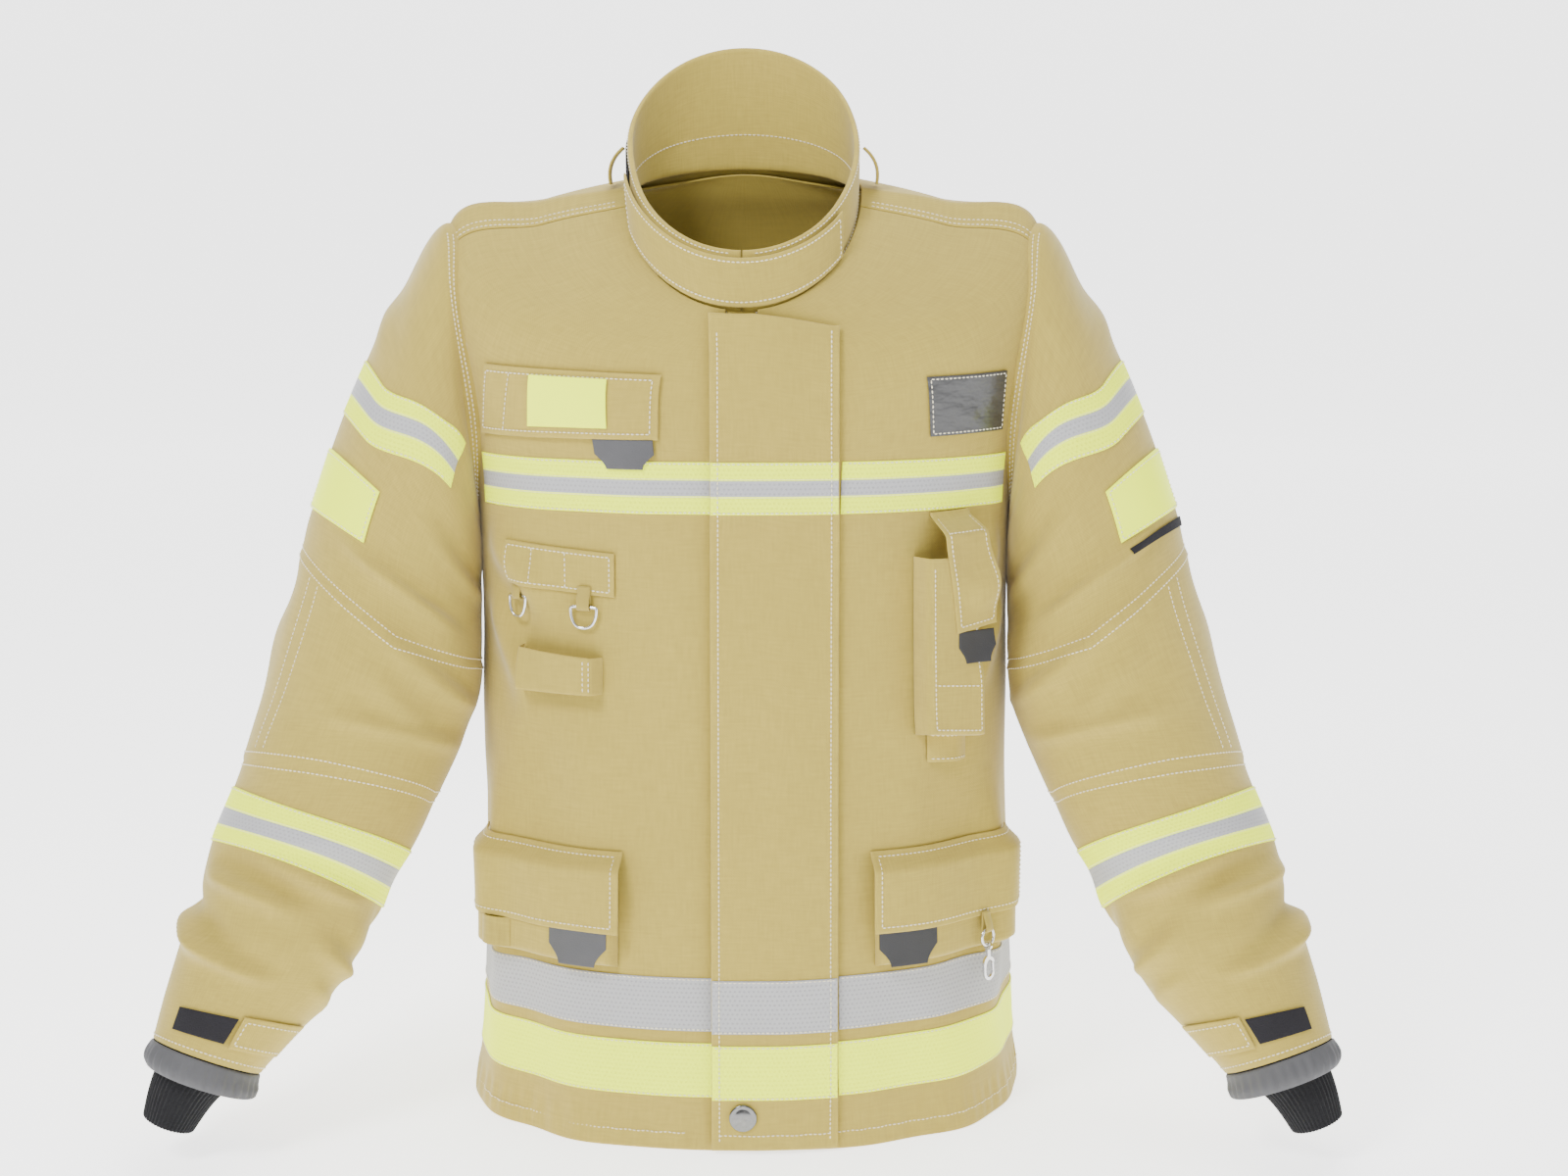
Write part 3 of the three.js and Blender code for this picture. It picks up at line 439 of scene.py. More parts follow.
# ---------------------------------------------------------------- meshes
def mesh_of(name, points, faces, uv=None, share=None, smooth_faces=True):
    """A mesh from points in mm, arrays of faces, a UV for each face corner and a share per point."""
    mesh = bpy.data.meshes.new(name)
    mesh.from_pydata(((points + SHIFT) / 1000).tolist(), [], [f for part in faces for f in part.tolist()])
    mesh.polygons.foreach_set("use_smooth", np.full(len(mesh.polygons), smooth_faces))
    if uv is not None:
        layer = mesh.uv_layers.new(name="cloth")
        layer.data.foreach_set("uv", np.concatenate([c.reshape(-1) for c in uv]).astype(np.float32))
    if share is not None:
        spot = mesh.attributes.new("share", "FLOAT_VECTOR", "POINT")
        spot.data.foreach_set("vector", share.reshape(-1).astype(np.float32))
    mesh.update()
    return mesh


def wall(name, outer, inner, share, ring=False, keep=None):
    """A closed sheet between two grids of points. Faces run over both grids, and rim faces join
    them wherever a kept face has no kept neighbour. The UV is the cloth's length in metres."""
    high, wide = outer.shape[:2]
    index = np.arange(high * wide).reshape(high, wide)
    after = np.roll(index, -1, 1) if ring else index[:, 1:]
    before = index if ring else index[:, :-1]
    a, b, c, d = before[:-1], after[:-1], after[1:], before[1:]
    kept = np.ones(a.shape, bool) if keep is None else keep
    row = outer[high // 2]
    steps_u = np.linalg.norm((np.roll(row, -1, 0) if ring else row[1:]) - (row if ring else row[:-1]),
                             axis=-1)
    column = outer[:, wide // 2]
    steps_v = np.linalg.norm(column[1:] - column[:-1], axis=-1)
    lu = np.concatenate([[0], np.cumsum(steps_u)]) / 1000
    lv = np.concatenate([[0], np.cumsum(steps_v)]) / 1000
    j, i = np.mgrid[0 : a.shape[0], 0 : a.shape[1]]
    place = {"a": (i, j), "b": (i + 1, j), "c": (i + 1, j + 1), "d": (i, j + 1)}
    spots = {k: np.stack([lu[x], lv[y]], -1) for k, (x, y) in place.items()}
    corner = {"a": a, "b": b, "c": c, "d": d}
    inside = high * wide

    def quads(order, mask):
        """Faces of the named corners, where a capital letter is on the inner grid."""
        ids = [corner[k.lower()] + (inside if k.isupper() else 0) for k in order]
        where = [spots[k.lower()] for k in order]
        return np.stack([x[mask] for x in ids], -1), np.stack([x[mask] for x in where], -2)

    pad = np.pad(kept, 1)
    if ring:
        pad[1:-1, 0], pad[1:-1, -1] = kept[:, -1], kept[:, 0]
    parts = [
        quads("abcd", kept), quads("ADCB", kept),
        quads("ABba", kept & ~pad[:-2, 1:-1]), quads("dcCD", kept & ~pad[2:, 1:-1]),
        quads("adDA", kept & ~pad[1:-1, :-2]), quads("cbBC", kept & ~pad[1:-1, 2:]),
    ]
    m, k = high // 2 - 1 if high > 2 else 0, wide // 2 - 1 if wide > 2 else 0
    across = np.cross(outer[m, k + 1] - outer[m, k], outer[m + 1, k] - outer[m, k])
    faces, uv = [f for f, _ in parts], [t for _, t in parts]
    if np.dot(across, outer[m, k] - inner[m, k]) < 0:
        faces, uv = [f[:, ::-1] for f in faces], [t[:, ::-1] for t in uv]
    points = np.concatenate([outer.reshape(-1, 3), inner.reshape(-1, 3)])
    used = np.unique(np.concatenate([f.reshape(-1) for f in faces]))
    new = np.full(len(points), -1)
    new[used] = np.arange(len(used))
    shares = np.concatenate([share.reshape(-1, 3)] * 2)[used]
    return mesh_of(name, points[used], [new[f] for f in faces], uv, shares)


def spread(length, pitch, rim):
    """Shares from 0 to 1 along a side: close together over the rounded rim and even between."""
    edge = min(0.3, rim / length)
    near = edge * np.array([0, 0.08, 0.29, 0.6, 1])
    count = max(2, round(length * (1 - 2 * edge) / pitch))
    return np.concatenate([near, np.linspace(edge, 1 - edge, count + 1)[1:-1], 1 - near[::-1]])


def put(name, mesh, finish, body="coat", nodes=()):
    """Links a mesh as a piece that rides on a body and stands for its CAD nodes."""
    piece = bpy.data.objects.new(name, mesh)
    bpy.context.scene.collection.objects.link(piece)
    mesh.materials.append(finish)
    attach(piece, body)
    if nodes:
        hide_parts(*nodes)
    return piece


def patch(name, surface, chart, size, low, thick, finish, body="coat", nodes=(),
          pitch=3.0, rim=2.0, ring=False, lift=None, keep=None):
    """A sheet over chart(s, w) on a surface, from the offset low to low + thick, plus lift(s, w).
    Both faces draw together along a quarter circle within rim of its edges, so the edge is round."""
    wide, high = size
    s = np.arange(round(wide / pitch)) / round(wide / pitch) if ring else spread(wide, pitch, rim)
    s, w = np.meshgrid(s, spread(high, pitch, rim))
    edge = np.minimum(w, 1 - w) * high
    if not ring:
        edge = np.minimum(edge, np.minimum(s, 1 - s) * wide)
    k = np.clip(1 - edge / rim, 0, 1)
    drop = (1 - np.sqrt(1 - k * k)) * thick * 0.42
    rise = low + (lift(s, w) if lift else 0)
    u, v = chart(s, w)
    p, n = facing(surface, u, v)
    base = surface.drape(u, v, p) + rise
    outer = p + n * (base + thick - drop)[..., None]
    inner = p + n * (base + drop)[..., None]
    share = np.stack([s, w, np.clip(1 - edge / 7, 0, 1)], -1)
    kept = keep(p) if keep else None
    if kept is not None:
        right = np.roll(kept, -1, 1) if ring else kept[:, 1:]
        left = kept if ring else kept[:, :-1]
        kept = left[:-1] & left[1:] & right[:-1] & right[1:]
    return put(name, wall(name, outer, inner, share, ring, kept), finish, body, nodes)


def corners(a, b, c, d):
    """Maps a four-cornered patch: bottom start, bottom end, top end and top start."""
    def chart(s, w):
        return tuple(lerp(lerp(a[k], b[k], s), lerp(d[k], c[k], s), w) for k in (0, 1))
    return chart


def carried(points, side, profile, closed):
    """A profile carried along a path. At each point it lies across the path, its first axis along
    side and its second square to both. Ends of an open path are closed by one face each."""
    along = (np.roll(points, -1, 0) - np.roll(points, 1, 0)) if closed else np.gradient(points, axis=0)
    along /= np.linalg.norm(along, axis=-1, keepdims=True)
    side = side - along * np.sum(side * along, -1, keepdims=True)
    side /= np.linalg.norm(side, axis=-1, keepdims=True)
    up = np.cross(along, side)
    grid = points[:, None] + side[:, None] * profile[None, :, :1] + up[:, None] * profile[None, :, 1:]
    n, m = grid.shape[:2]
    index = np.arange(n * m).reshape(n, m)
    nxt = np.roll(index, -1, 1)
    rows = np.roll(index, -1, 0) if closed else index[1:]
    rows_nxt = np.roll(nxt, -1, 0) if closed else nxt[1:]
    first, first_nxt = (index, nxt) if closed else (index[:-1], nxt[:-1])
    faces = [np.stack([first, first_nxt, rows_nxt, rows], -1).reshape(-1, 4)]
    if not closed:
        faces += [index[0][None, ::-1], index[-1][None]]
    return grid.reshape(-1, 3), faces


def disc(radius, count):
    """A circle as a profile, wound so that a carried wire faces outwards."""
    a = np.linspace(0, 2 * math.pi, count, endpoint=False)
    return radius * np.stack([np.cos(a), np.sin(a)], -1)


def strap_profile(width, thick):
    """The cross-section of a webbing strap: a box with its corners taken off."""
    w, t, r = width / 2, thick / 2, thick * 0.35
    return np.array([[w, -t + r], [w, t - r], [w - r, t], [-w + r, t], [-w, t - r], [-w, -t + r],
                     [-w + r, -t], [w - r, -t]])


def local(frame_of, points):
    """Points given along, up and out of a seat's frame, moved to the coat's."""
    axes, origin = frame_of
    return points @ axes + origin


# ---------------------------------------------------------------- sewing
RUNS = []
STITCH = [4.2, 1.1]  # distance from stitch to stitch and width of the thread, mm


def run(surface, u, v, offset):
    """Plans a row of stitches along u and v on a surface. It is sewn by the next call of sew."""
    u, v = np.broadcast_arrays(np.asarray(u, float), np.asarray(v, float))
    p, n = lifted(surface, u, v, offset)
    step = np.linalg.norm(p[1:] - p[:-1], axis=-1)
    far = np.concatenate([[0], np.cumsum(step)])
    count = int(far[-1] / STITCH[0])
    if count < 2:
        return
    at = (np.arange(count) + 0.5) * far[-1] / count
    half = STITCH[0] * 0.36
    pick = lambda a, where: np.stack([np.interp(where, far, a[:, k]) for k in range(3)], -1)
    RUNS.append((pick(p, at - half), pick(p, at), pick(p, at + half), pick(n, at)))


def hem_run(surface, chart, size, inset, offset, sides="blrt", lift=None):
    """Plans rows of stitches inset from the named sides of a patch: bottom, left, right and top."""
    ds, dw = inset / size[0], inset / size[1]
    ends = {"b": ((ds, dw), (1 - ds, dw)), "r": ((1 - ds, dw), (1 - ds, 1 - dw)),
            "t": ((1 - ds, 1 - dw), (ds, 1 - dw)), "l": ((ds, 1 - dw), (ds, dw))}
    for k in sides:
        (s0, w0), (s1, w1) = ends[k]
        s, w = np.linspace(s0, s1, 160), np.linspace(w0, w1, 160)
        run(surface, *chart(s, w), offset + (lift(s, w) if lift else 0))


def sew(name, body="coat"):
    """Makes one piece of all the planned stitches: each is a thread that dips into the cloth at
    both ends, with a diamond-shaped section at three stations."""
    start, middle, end, out = (np.concatenate([r[k] for r in RUNS]) for k in range(4))
    RUNS.clear()
    along = end - start
    along /= np.linalg.norm(along, axis=-1, keepdims=True)
    out = out / np.linalg.norm(out, axis=-1, keepdims=True)
    side = np.cross(out, along)
    half = STITCH[1] / 2
    stations = []
    for place, height, girth in ((start, -0.25, 0.45), (middle, 0.28, 1.0), (end, -0.25, 0.45)):
        hub = place + out * height
        ring = [side * half * girth, out * half * girth * 0.9, -side * half * girth,
                -out * half * girth * 0.9]
        stations += [hub + r for r in ring]
    points = np.stack(stations, 1).reshape(-1, 3)
    base = np.arange(len(start))[:, None] * 12
    pattern = [[k, (k + 1) % 4, 4 + (k + 1) % 4, 4 + k] for k in range(4)]
    pattern += [[4 + k, 4 + (k + 1) % 4, 8 + (k + 1) % 4, 8 + k] for k in range(4)]
    pattern += [[3, 2, 1, 0], [8, 9, 10, 11]]
    faces = (base[:, :, None] + np.array(pattern)[None]).reshape(-1, 4)
    # The section runs from side to out, so across x along points outwards when faces are turned.
    mesh = mesh_of(name, points, [faces[:, ::-1]])
    return put(name, mesh, FINISH["thread"], body)


# ---------------------------------------------------------------- finishes
FINISH = {}


class Value:
    """A number on a shader's socket. Arithmetic on it adds Math nodes."""

    def __init__(self, finish, socket):
        self.finish, self.socket = finish, socket

    def _sum(self, operation, *others):
        node = self.finish.node("ShaderNodeMath", {"operation": operation}, dict(enumerate(others)))
        return Value(self.finish, node.outputs[0])

    def __add__(self, other):
        return self._sum("ADD", self, other)

    def __mul__(self, other):
        return self._sum("MULTIPLY", self, other)

    def __sub__(self, other):
        return self._sum("SUBTRACT", self, other)

    def __rsub__(self, other):
        return self._sum("SUBTRACT", other, self)

    def __truediv__(self, other):
        return self._sum("DIVIDE", self, other)

    __radd__, __rmul__ = __add__, __mul__

    def over(self, low, high):
        """0 below low and 1 above high, in a straight line between."""
        node = self.finish.node("ShaderNodeMapRange", {}, {"Value": self, "From Min": low,
                                                           "From Max": high})
        return Value(self.finish, node.outputs["Result"])

    def sine(self):
        return self._sum("SINE", self)

    def root(self):
        return self._sum("SQRT", self)

    def mod(self, size):
        return self._sum("FLOORED_MODULO", self, size)

    def whole(self):
        return self._sum("FLOOR", self)

    def size(self):
        return self._sum("ABSOLUTE", self)


class Finish:
    """A material made of nodes, with its constants set on the shader's own sockets."""

    def __init__(self, name, **constants):
        self.material = bpy.data.materials.new(name)
        self.material.use_nodes = True
        self.tree = self.material.node_tree
        self.shader = self.tree.nodes["Principled BSDF"]
        for socket, value in constants.items():
            self.shader.inputs[socket.replace("_", " ")].default_value = value
        FINISH[name] = self.material

    def node(self, kind, settings=(), sockets=()):
        """Makes a node of any type from its settings and the values or links of its sockets."""
        node = self.tree.nodes.new(kind)
        for key, value in dict(settings).items():
            setattr(node, key, value)
        for key, value in dict(sockets).items():
            if isinstance(value, Value):
                value = value.socket
            if isinstance(value, bpy.types.NodeSocket):
                self.tree.links.new(value, node.inputs[key])
            else:
                node.inputs[key].default_value = value
        return node

    def place(self, which="UV"):
        return self.node("ShaderNodeTexCoord").outputs[which]

    def split(self, vector):
        parts = self.node("ShaderNodeSeparateXYZ", {}, {0: vector})
        return [Value(self, parts.outputs[k]) for k in range(3)]

    def share(self):
        return self.split(self.node("ShaderNodeAttribute", {"attribute_name": "share"}).outputs["Vector"])

    def noise(self, scale, detail=3.0, stretch=(1, 1, 1), which="Object", rough=0.55):
        at = self.node("ShaderNodeMapping", {}, {"Vector": self.place(which), "Scale": stretch})
        made = self.node("ShaderNodeTexNoise", {}, {"Vector": at.outputs[0], "Scale": scale,
                                                    "Detail": detail, "Roughness": rough})
        return Value(self, made.outputs[0])

    def mix(self, share, a, b):
        made = self.node("ShaderNodeMix", {"data_type": "RGBA"}, {0: share, 6: a, 7: b})
        return made.outputs[2]

    def feed(self, socket, value):
        value = value.socket if isinstance(value, Value) else value
        self.tree.links.new(value, self.shader.inputs[socket])

    def bump(self, height, distance, strength=1.0):
        made = self.node("ShaderNodeBump", {}, {"Height": height, "Distance": distance,
                                                "Strength": strength})
        self.feed("Normal", made.outputs[0])


def shade(colour, amount):
    """A colour made lighter or darker by a factor, with its alpha."""
    return (*[min(1.0, c * amount) for c in colour[:3]], 1.0)


def cloth_finish(name, colour, roughness=0.88, thread=520.0, contrast=0.16):
    """Canvas: slubs along both threads, a fine twill and a slow unevenness, lighter at worn rims."""
    f = Finish(name, Sheen_Weight=0.25, Sheen_Roughness=0.5, Specular_IOR_Level=0.25)
    warp = f.noise(thread, 2.0, (1, 0.09, 1), "UV")
    weft = f.noise(thread, 2.0, (0.09, 1, 1), "UV")
    u, v, _ = f.split(f.place("UV"))
    twill = ((u + v) * (2 * math.pi / 0.0022)).sine() * 0.5 + 0.5
    slow = f.noise(7.0, 4.0)
    weave = warp * 0.45 + weft * 0.45 + twill * 0.1
    tint = f.mix(weave.over(0.3, 0.7), shade(colour, 1 - contrast), shade(colour, 1 + contrast * 0.7))
    tint = f.mix(slow.over(0.35, 0.7) * 0.35, tint, shade(colour, 0.86))
    worn = f.share()[2].over(0.45, 1.0) * f.noise(60, 2.0).over(0.35, 0.65)
    f.feed("Base Color", f.mix(worn * 0.35, tint, shade(colour, 1.25)))
    f.feed("Roughness", slow * 0.12 + (roughness - 0.06))
    f.bump(weave, 0.0006, 0.55)
    return f


def tape_finish(name, main, stripe=None, painted_glow=0.0):
    """Perforated tape: rows of small round dips set like bricks over a fine knit, with an optional
    stripe of reflective tape along the middle third and a sewn line either side of it."""
    # The emission is painted light: the tape glows in its own colour, brighter than the lamps light it.
    f = Finish(name, Specular_IOR_Level=0.35, Emission_Color=shade(main, 1), Emission_Strength=painted_glow)
    u, v, _ = f.split(f.place("UV"))
    pitch = 0.0042
    row = v / pitch
    line = row.whole()
    a = (u / pitch + line * 0.5).mod(1.0) - 0.5
    b = row.mod(1.0) - 0.5
    hole = 1 - (a * a + b * b).root().over(0.17, 0.3)
    fine = ((u * (2 * math.pi / 0.0014)).sine() * (v * (2 * math.pi / 0.0014)).sine()) * 0.5 + 0.5
    grain = f.noise(900, 2.0, (1, 1, 1), "UV")
    soil = f.noise(14.0, 4.0).over(0.45, 0.8)
    tint = f.mix(fine * 0.5 + grain * 0.3, shade(main, 0.94), shade(main, 1.06))
    tint = f.mix(hole * 0.5, tint, shade(main, 0.62))
    tint = f.mix(soil * 0.12, tint, shade(main, 0.7))
    rough = 0.62 + grain * 0.1
    height = fine * 0.15 - hole * 0.8
    if stripe is not None:
        across = f.share()[1]
        inside = (across - 0.5).size()
        silver = 1 - inside.over(0.145, 0.155)
        lattice = f.mix(hole * 0.45 + fine * 0.2, shade(stripe, 1.0), shade(stripe, 0.7))
        tint = f.mix(silver, tint, lattice)
        seam = 1 - (inside - 0.17).size().over(0.004, 0.014)
        tint = f.mix(seam * 0.5, tint, shade((0.8, 0.8, 0.6), 1.0))
        height = height + silver * 0.5 - seam * 0.4
        rough = rough - silver * 0.2
        # The painted glow is taken off over the silver stripe.
        f.feed("Emission Color", f.mix(silver, shade(main, 1), (0, 0, 0, 1)))
    f.feed("Base Color", tint)
    f.feed("Roughness", rough)
    f.bump(height, 0.0005, 0.7)
    return f


def make_finishes(colours):
    """All the coat's finishes, from the colours a user can change."""
    cloth = tuple(colours.cloth)
    yellow, silver = tuple(colours.yellow), tuple(colours.silver)
    cloth_finish("outer_cloth", cloth)
    cloth_finish("lining_cloth", tuple(c * 0.82 for c in cloth), 0.95, 300.0, 0.1)
    cloth_finish("webbing", tuple(c * 0.92 for c in cloth), 0.85, 260.0, 0.3)
    cloth_finish("zip_tape_cloth", (0.2, 0.175, 0.09), 0.8, 700.0, 0.15)
    # The last number of each yellow tape is the strength of its painted glow.
    tape_finish("striped_tape", yellow, silver, 0.5)
    tape_finish("yellow_tape", yellow, None, 0.6)
    tape_finish("silver_tape", silver)

    # The plate's emission is painted light: it glows in the yellow, brighter than the lamps light it.
    f = Finish("plate_vinyl", Specular_IOR_Level=0.4, Emission_Color=shade(yellow, 1),
               Emission_Strength=0.6)
    grain = f.noise(1400, 2.0)
    f.feed("Base Color", f.mix(grain * 0.5, shade(yellow, 0.96), shade(yellow, 1.05)))
    f.feed("Roughness", grain * 0.2 + 0.4)
    f.bump(grain, 0.0003, 0.4)

    f = Finish("thread", Roughness=0.75, Sheen_Weight=0.2)
    twist = f.noise(1600, 2.0)
    f.feed("Base Color", f.mix(twist, shade(colours.thread, 0.8), shade(colours.thread, 1.15)))

    for name, colour, rough in (("grey_rubber", (0.075, 0.075, 0.08), 0.66),
                                ("dark_rubber", (0.026, 0.026, 0.028), 0.6),
                                ("hook_strip", (0.012, 0.011, 0.014), 0.95)):
        f = Finish(name, Specular_IOR_Level=0.4)
        grain, cloud = f.noise(900, 3.0), f.noise(22, 3.0)
        f.feed("Base Color", f.mix(cloud, shade(colour, 0.85), shade(colour, 1.25)))
        f.feed("Roughness", grain * 0.16 + (rough - 0.08))
        f.bump(grain, 0.0007 if name == "hook_strip" else 0.0003, 0.8)

    f = Finish("glossy_patch", Coat_Weight=0.25, Coat_Roughness=0.12, Specular_IOR_Level=0.5)
    crease = f.noise(26, 3.0, (1, 1.8, 1), "UV", 0.5)
    f.feed("Base Color", f.mix(crease, shade((0.028, 0.028, 0.029), 0.8),
                               shade((0.055, 0.055, 0.056), 1.1)))
    f.feed("Roughness", crease * 0.25 + 0.2)
    f.bump(crease.over(0.3, 0.7), 0.003, 0.7)

    f = Finish("knit", Sheen_Weight=0.1, Specular_IOR_Level=0.15)
    fluff = f.noise(700, 4.0)
    f.feed("Base Color", f.mix(fluff, (0.004, 0.004, 0.005, 1), (0.02, 0.02, 0.022, 1)))
    f.feed("Roughness", fluff * 0.1 + 0.88)
    f.bump(fluff, 0.0008, 0.8)

    for name, dark, bright in (("bright_metal", 0.62, 0.83), ("dark_metal", 0.13, 0.24)):
        f = Finish(name, Metallic=1.0)
        scuff = f.noise(300, 4.0)
        f.feed("Base Color", f.mix(scuff, shade((dark,) * 3, 1), shade((bright,) * 3, 1)))
        f.feed("Roughness", scuff.over(0.3, 0.8) * 0.18 + 0.12)
        f.bump(scuff, 0.0001, 0.3)


# ---------------------------------------------------------------- where pieces meet
def inside_sleeve(p, share):
    """Whether points lie within a share of either sleeve's ring, near its armhole."""
    found = np.zeros(p.shape[:-1], bool)
    for tube in SLEEVES.values():
        t = np.linspace(-0.6, 4.2, 90)
        hub = tube.axis(t)
        q = p * np.array([tube.side, 1, 1])
        out, deep = tube.spokes(t)
        run_of = tube.axis(t + 0.01) - tube.axis(t - 0.01)
        run_of /= np.linalg.norm(run_of, axis=-1, keepdims=True)
        flat = q.reshape(-1, 3)
        height = np.einsum("nk,mk->nm", flat, run_of) - np.sum(hub * run_of, -1)
        # The first ring plane that the point lies behind.
        near = np.argmax(height < 0, 1)
        valid = (height[:, 0] > 0) & (height < 0).any(1)
        d = flat - hub[near]
        a = np.sum(d * out[near], -1) / np.sum(out[near] ** 2, -1)
        b = np.sum(d * deep[near], -1) / np.sum(deep[near] ** 2, -1)
        found |= (valid & (a * a + b * b < share**2)).reshape(found.shape)
    return found


def depth_in_body(p):
    """How far inside the trunk points lie, in mm at the ring's own size: the ring's sum of powers
    is 1 on the surface. The angle and the ring are found in turns."""
    x, y, z = p[..., 0], p[..., 1], p[..., 2]
    v = np.full(x.shape, 3.0)
    for _ in range(5):
        row = row_at(BODY_RINGS, v)
        front = FRONT_AT_HEM - FRONT_SLOPE * row[..., 2]
        deep = np.where(y < 0, front, row[..., 3])
        power = row[..., 5] / 2
        theta = np.degrees(np.arctan2(np.sign(y) * (np.abs(y) / deep) ** power,
                                      np.sign(x) * (np.abs(x) / row[..., 1]) ** power))
        low, high = np.full(x.shape, -0.5), np.full(x.shape, len(BODY_RINGS) - 1.0)
        v = halved(low, high, lambda r: BODY.ring(theta, r)[..., 2] < z)
    row = row_at(BODY_RINGS, v)
    front = FRONT_AT_HEM - FRONT_SLOPE * row[..., 2]
    deep = np.where(y < 0, front, row[..., 3])
    total = ((np.abs(x) / row[..., 1]) ** row[..., 5] + (np.abs(y) / deep) ** row[..., 5]) ** (1 / row[...,
            5])
    inside = (1 - total) * np.minimum(row[..., 1], deep)
    over = z > BODY.ring(theta, np.full(x.shape, len(BODY_RINGS) - 1.0))[..., 2]
    return np.where(over, -50.0, inside)


def cloth_sheet(piece):
    """Reads the areas that a cloth piece's faces cover, as the panel isn't a rectangle; they are not kept."""
    mesh = piece.data
    areas = np.empty(len(mesh.polygons))
    mesh.polygons.foreach_get("area", areas)


# ---------------------------------------------------------------- body
BODY_TOP = len(BODY_RINGS) - 1.0


def seam_at(v):
    """How far in front of the shoulder line the back panel wraps, in degrees."""
    return 9 * smooth((v - 3.4) / 0.6)


def front_edge(x, v):
    """The angle at which a ring stands at x from the centre front."""
    row = row_at(BODY_RINGS, v)
    return -90 + np.degrees(np.arcsin(np.sign(x) * (abs(x) / row[..., 1]) ** (row[..., 5] / 2)))


class CoatBodyPanels(bpy.types.Operator):
    """Make the two fronts, the back with its yoke and the lining"""

    bl_idname = "coat.body_panels"
    bl_label = "Body panels"

    def execute(self, context):
        thick = context.scene.coat_sizes.cloth * 1000
        seam = 0.12

        def right(s, w):
            v = BODY_TOP * w
            return lerp(-180 + seam_at(v) + seam, front_edge(-ZIP_HALF, v), s), v

        def left(s, w):
            v = BODY_TOP * w
            return lerp(front_edge(ZIP_HALF, v), -seam_at(v) - seam, s), v

        def back(s, w):
            v = BODY_TOP * w
            return lerp(-seam_at(v) + seam, 180 + seam_at(v) - seam, s), v

        clear = lambda p: ~inside_sleeve(p, 0.9)
        pieces = []
        for name, chart, wide in (("right_front", right, 330), ("left_front", left, 330),
                                  ("back_panel", back, 640)):
            piece = patch(name + "_cloth", BODY, chart, (wide, 900), -thick, thick, FINISH["outer_cloth"],
                          nodes=(name,), pitch=4.5, rim=1.6, keep=clear)
            pieces.append(piece)

        def lining(s, w):
            v = lerp(0.12, 5.75, w)
            return lerp(front_edge(24, v), 360 + front_edge(-24, v), s), v

        liner = patch("body_lining", BODY, lining, (1230, 830), -thick - 10, 2, FINISH["lining_cloth"],
                      nodes=("body_liner",), pitch=9, rim=2,
                      keep=lambda p: ~inside_sleeve(p, 1.02))
        # Shoulder seams, hem and the side seams' double rows.
        v = np.linspace(3.95, BODY_TOP - 0.12, 200)
        for sign in (0, 1):
            for step in (1.1, 2.9):
                theta = -seam_at(v) + step
                run(BODY, theta if sign == 0 else 180 - theta, v, 0.1)
        theta = np.linspace(-85, 261, 1200)
        run(BODY_AT, theta, np.full(theta.shape, HEM_STITCH_Z), 0.1)
        stitches = sew("body_stitches")
        cloth_sheet(pieces[0])
        cloth_sheet(pieces[1])
        cloth_sheet(pieces[2])
        cloth_sheet(liner)
        return {"FINISHED"}


class CoatCollar(bpy.types.Operator):
    """Make the standing collar, its throat tab, the hook patch and the shoulder loops"""

    bl_idname = "coat.collar"
    bl_label = "Collar"

    def execute(self, context):
        def ring(s, w):
            return lerp(-90 + COLLAR_SPLIT, 270 - COLLAR_SPLIT, s), w

        # The rim is rolled, so it swells a little inwards at the top.
        patch("collar_stand", COLLAR, ring, (640, 95), -5, 5, FINISH["outer_cloth"], nodes=("collar",),
              pitch=3.5, rim=4.5)
        w = np.linspace(0, 1, 500)
        theta = lerp(-84, 264, w)
        run(COLLAR, theta, np.full(500, 0.93), 0.15)
        run(COLLAR, theta, np.full(500, 0.27), -5.15)
        run(COLLAR, theta, np.full(500, 0.05), 0.15)
        sew("collar_stitches")
        tab = corners((-158, 0.14), (-36, 0.14), (-36, 0.86), (-166, 0.86))
        size = (260, 48)
        patch("throat_tab", COLLAR, tab, size, GAP + 2.6, 2.8, FINISH["outer_cloth"], "collar_tab",
              ("collar_tab",),
              pitch=2.5, rim=2.2)
        hem_run(COLLAR, tab, size, 5, GAP + 5.6)
        sew("throat_tab_stitches", "collar_tab")
        hook = corners((-180, 0.2), (-163, 0.2), (-166, 0.9), (-184, 0.88))
        patch("collar_hook_patch", COLLAR, hook, (32, 42), 0.2, 1.4, FINISH["hook_strip"],
              pitch=3)
        # Loops beside the collar: a strap that rises from the shoulder and leans to the collar.
        for side, sign in (("left", 1), ("right", -1)):
            s = np.linspace(0, 1, 22)[:, None]
            foot, crown, tip = (np.array([[sign * a, 8.0, b]]) for a,
                                b in ((122, 853), (126.5, 873), (110, 886)))
            path = (1 - s) ** 2 * foot + 2 * s * (1 - s) * crown + s**2 * tip
            points, faces = carried(path, np.array([[0, 1.0, 0]]), strap_profile(20, 2.4), False)
            put("shoulder_strap_" + side, outward(mesh_of("strap", points, faces)), FINISH["webbing"],
                nodes=("shoulder_loop_" + side,))
        return {"FINISHED"}


def outward(mesh):
    """Turns a closed mesh's faces outwards if its signed volume is negative."""
    made = bmesh.new()
    made.from_mesh(mesh)
    if made.calc_volume(signed=True) < 0:
        bmesh.ops.reverse_faces(made, faces=made.faces)
    made.to_mesh(mesh)
    made.free()
    return mesh


def flap_lift(x):
    """Height of the storm flap's back over the body at x."""
    return lerp(5.8, 3.0, smooth((x - 30) / 48))


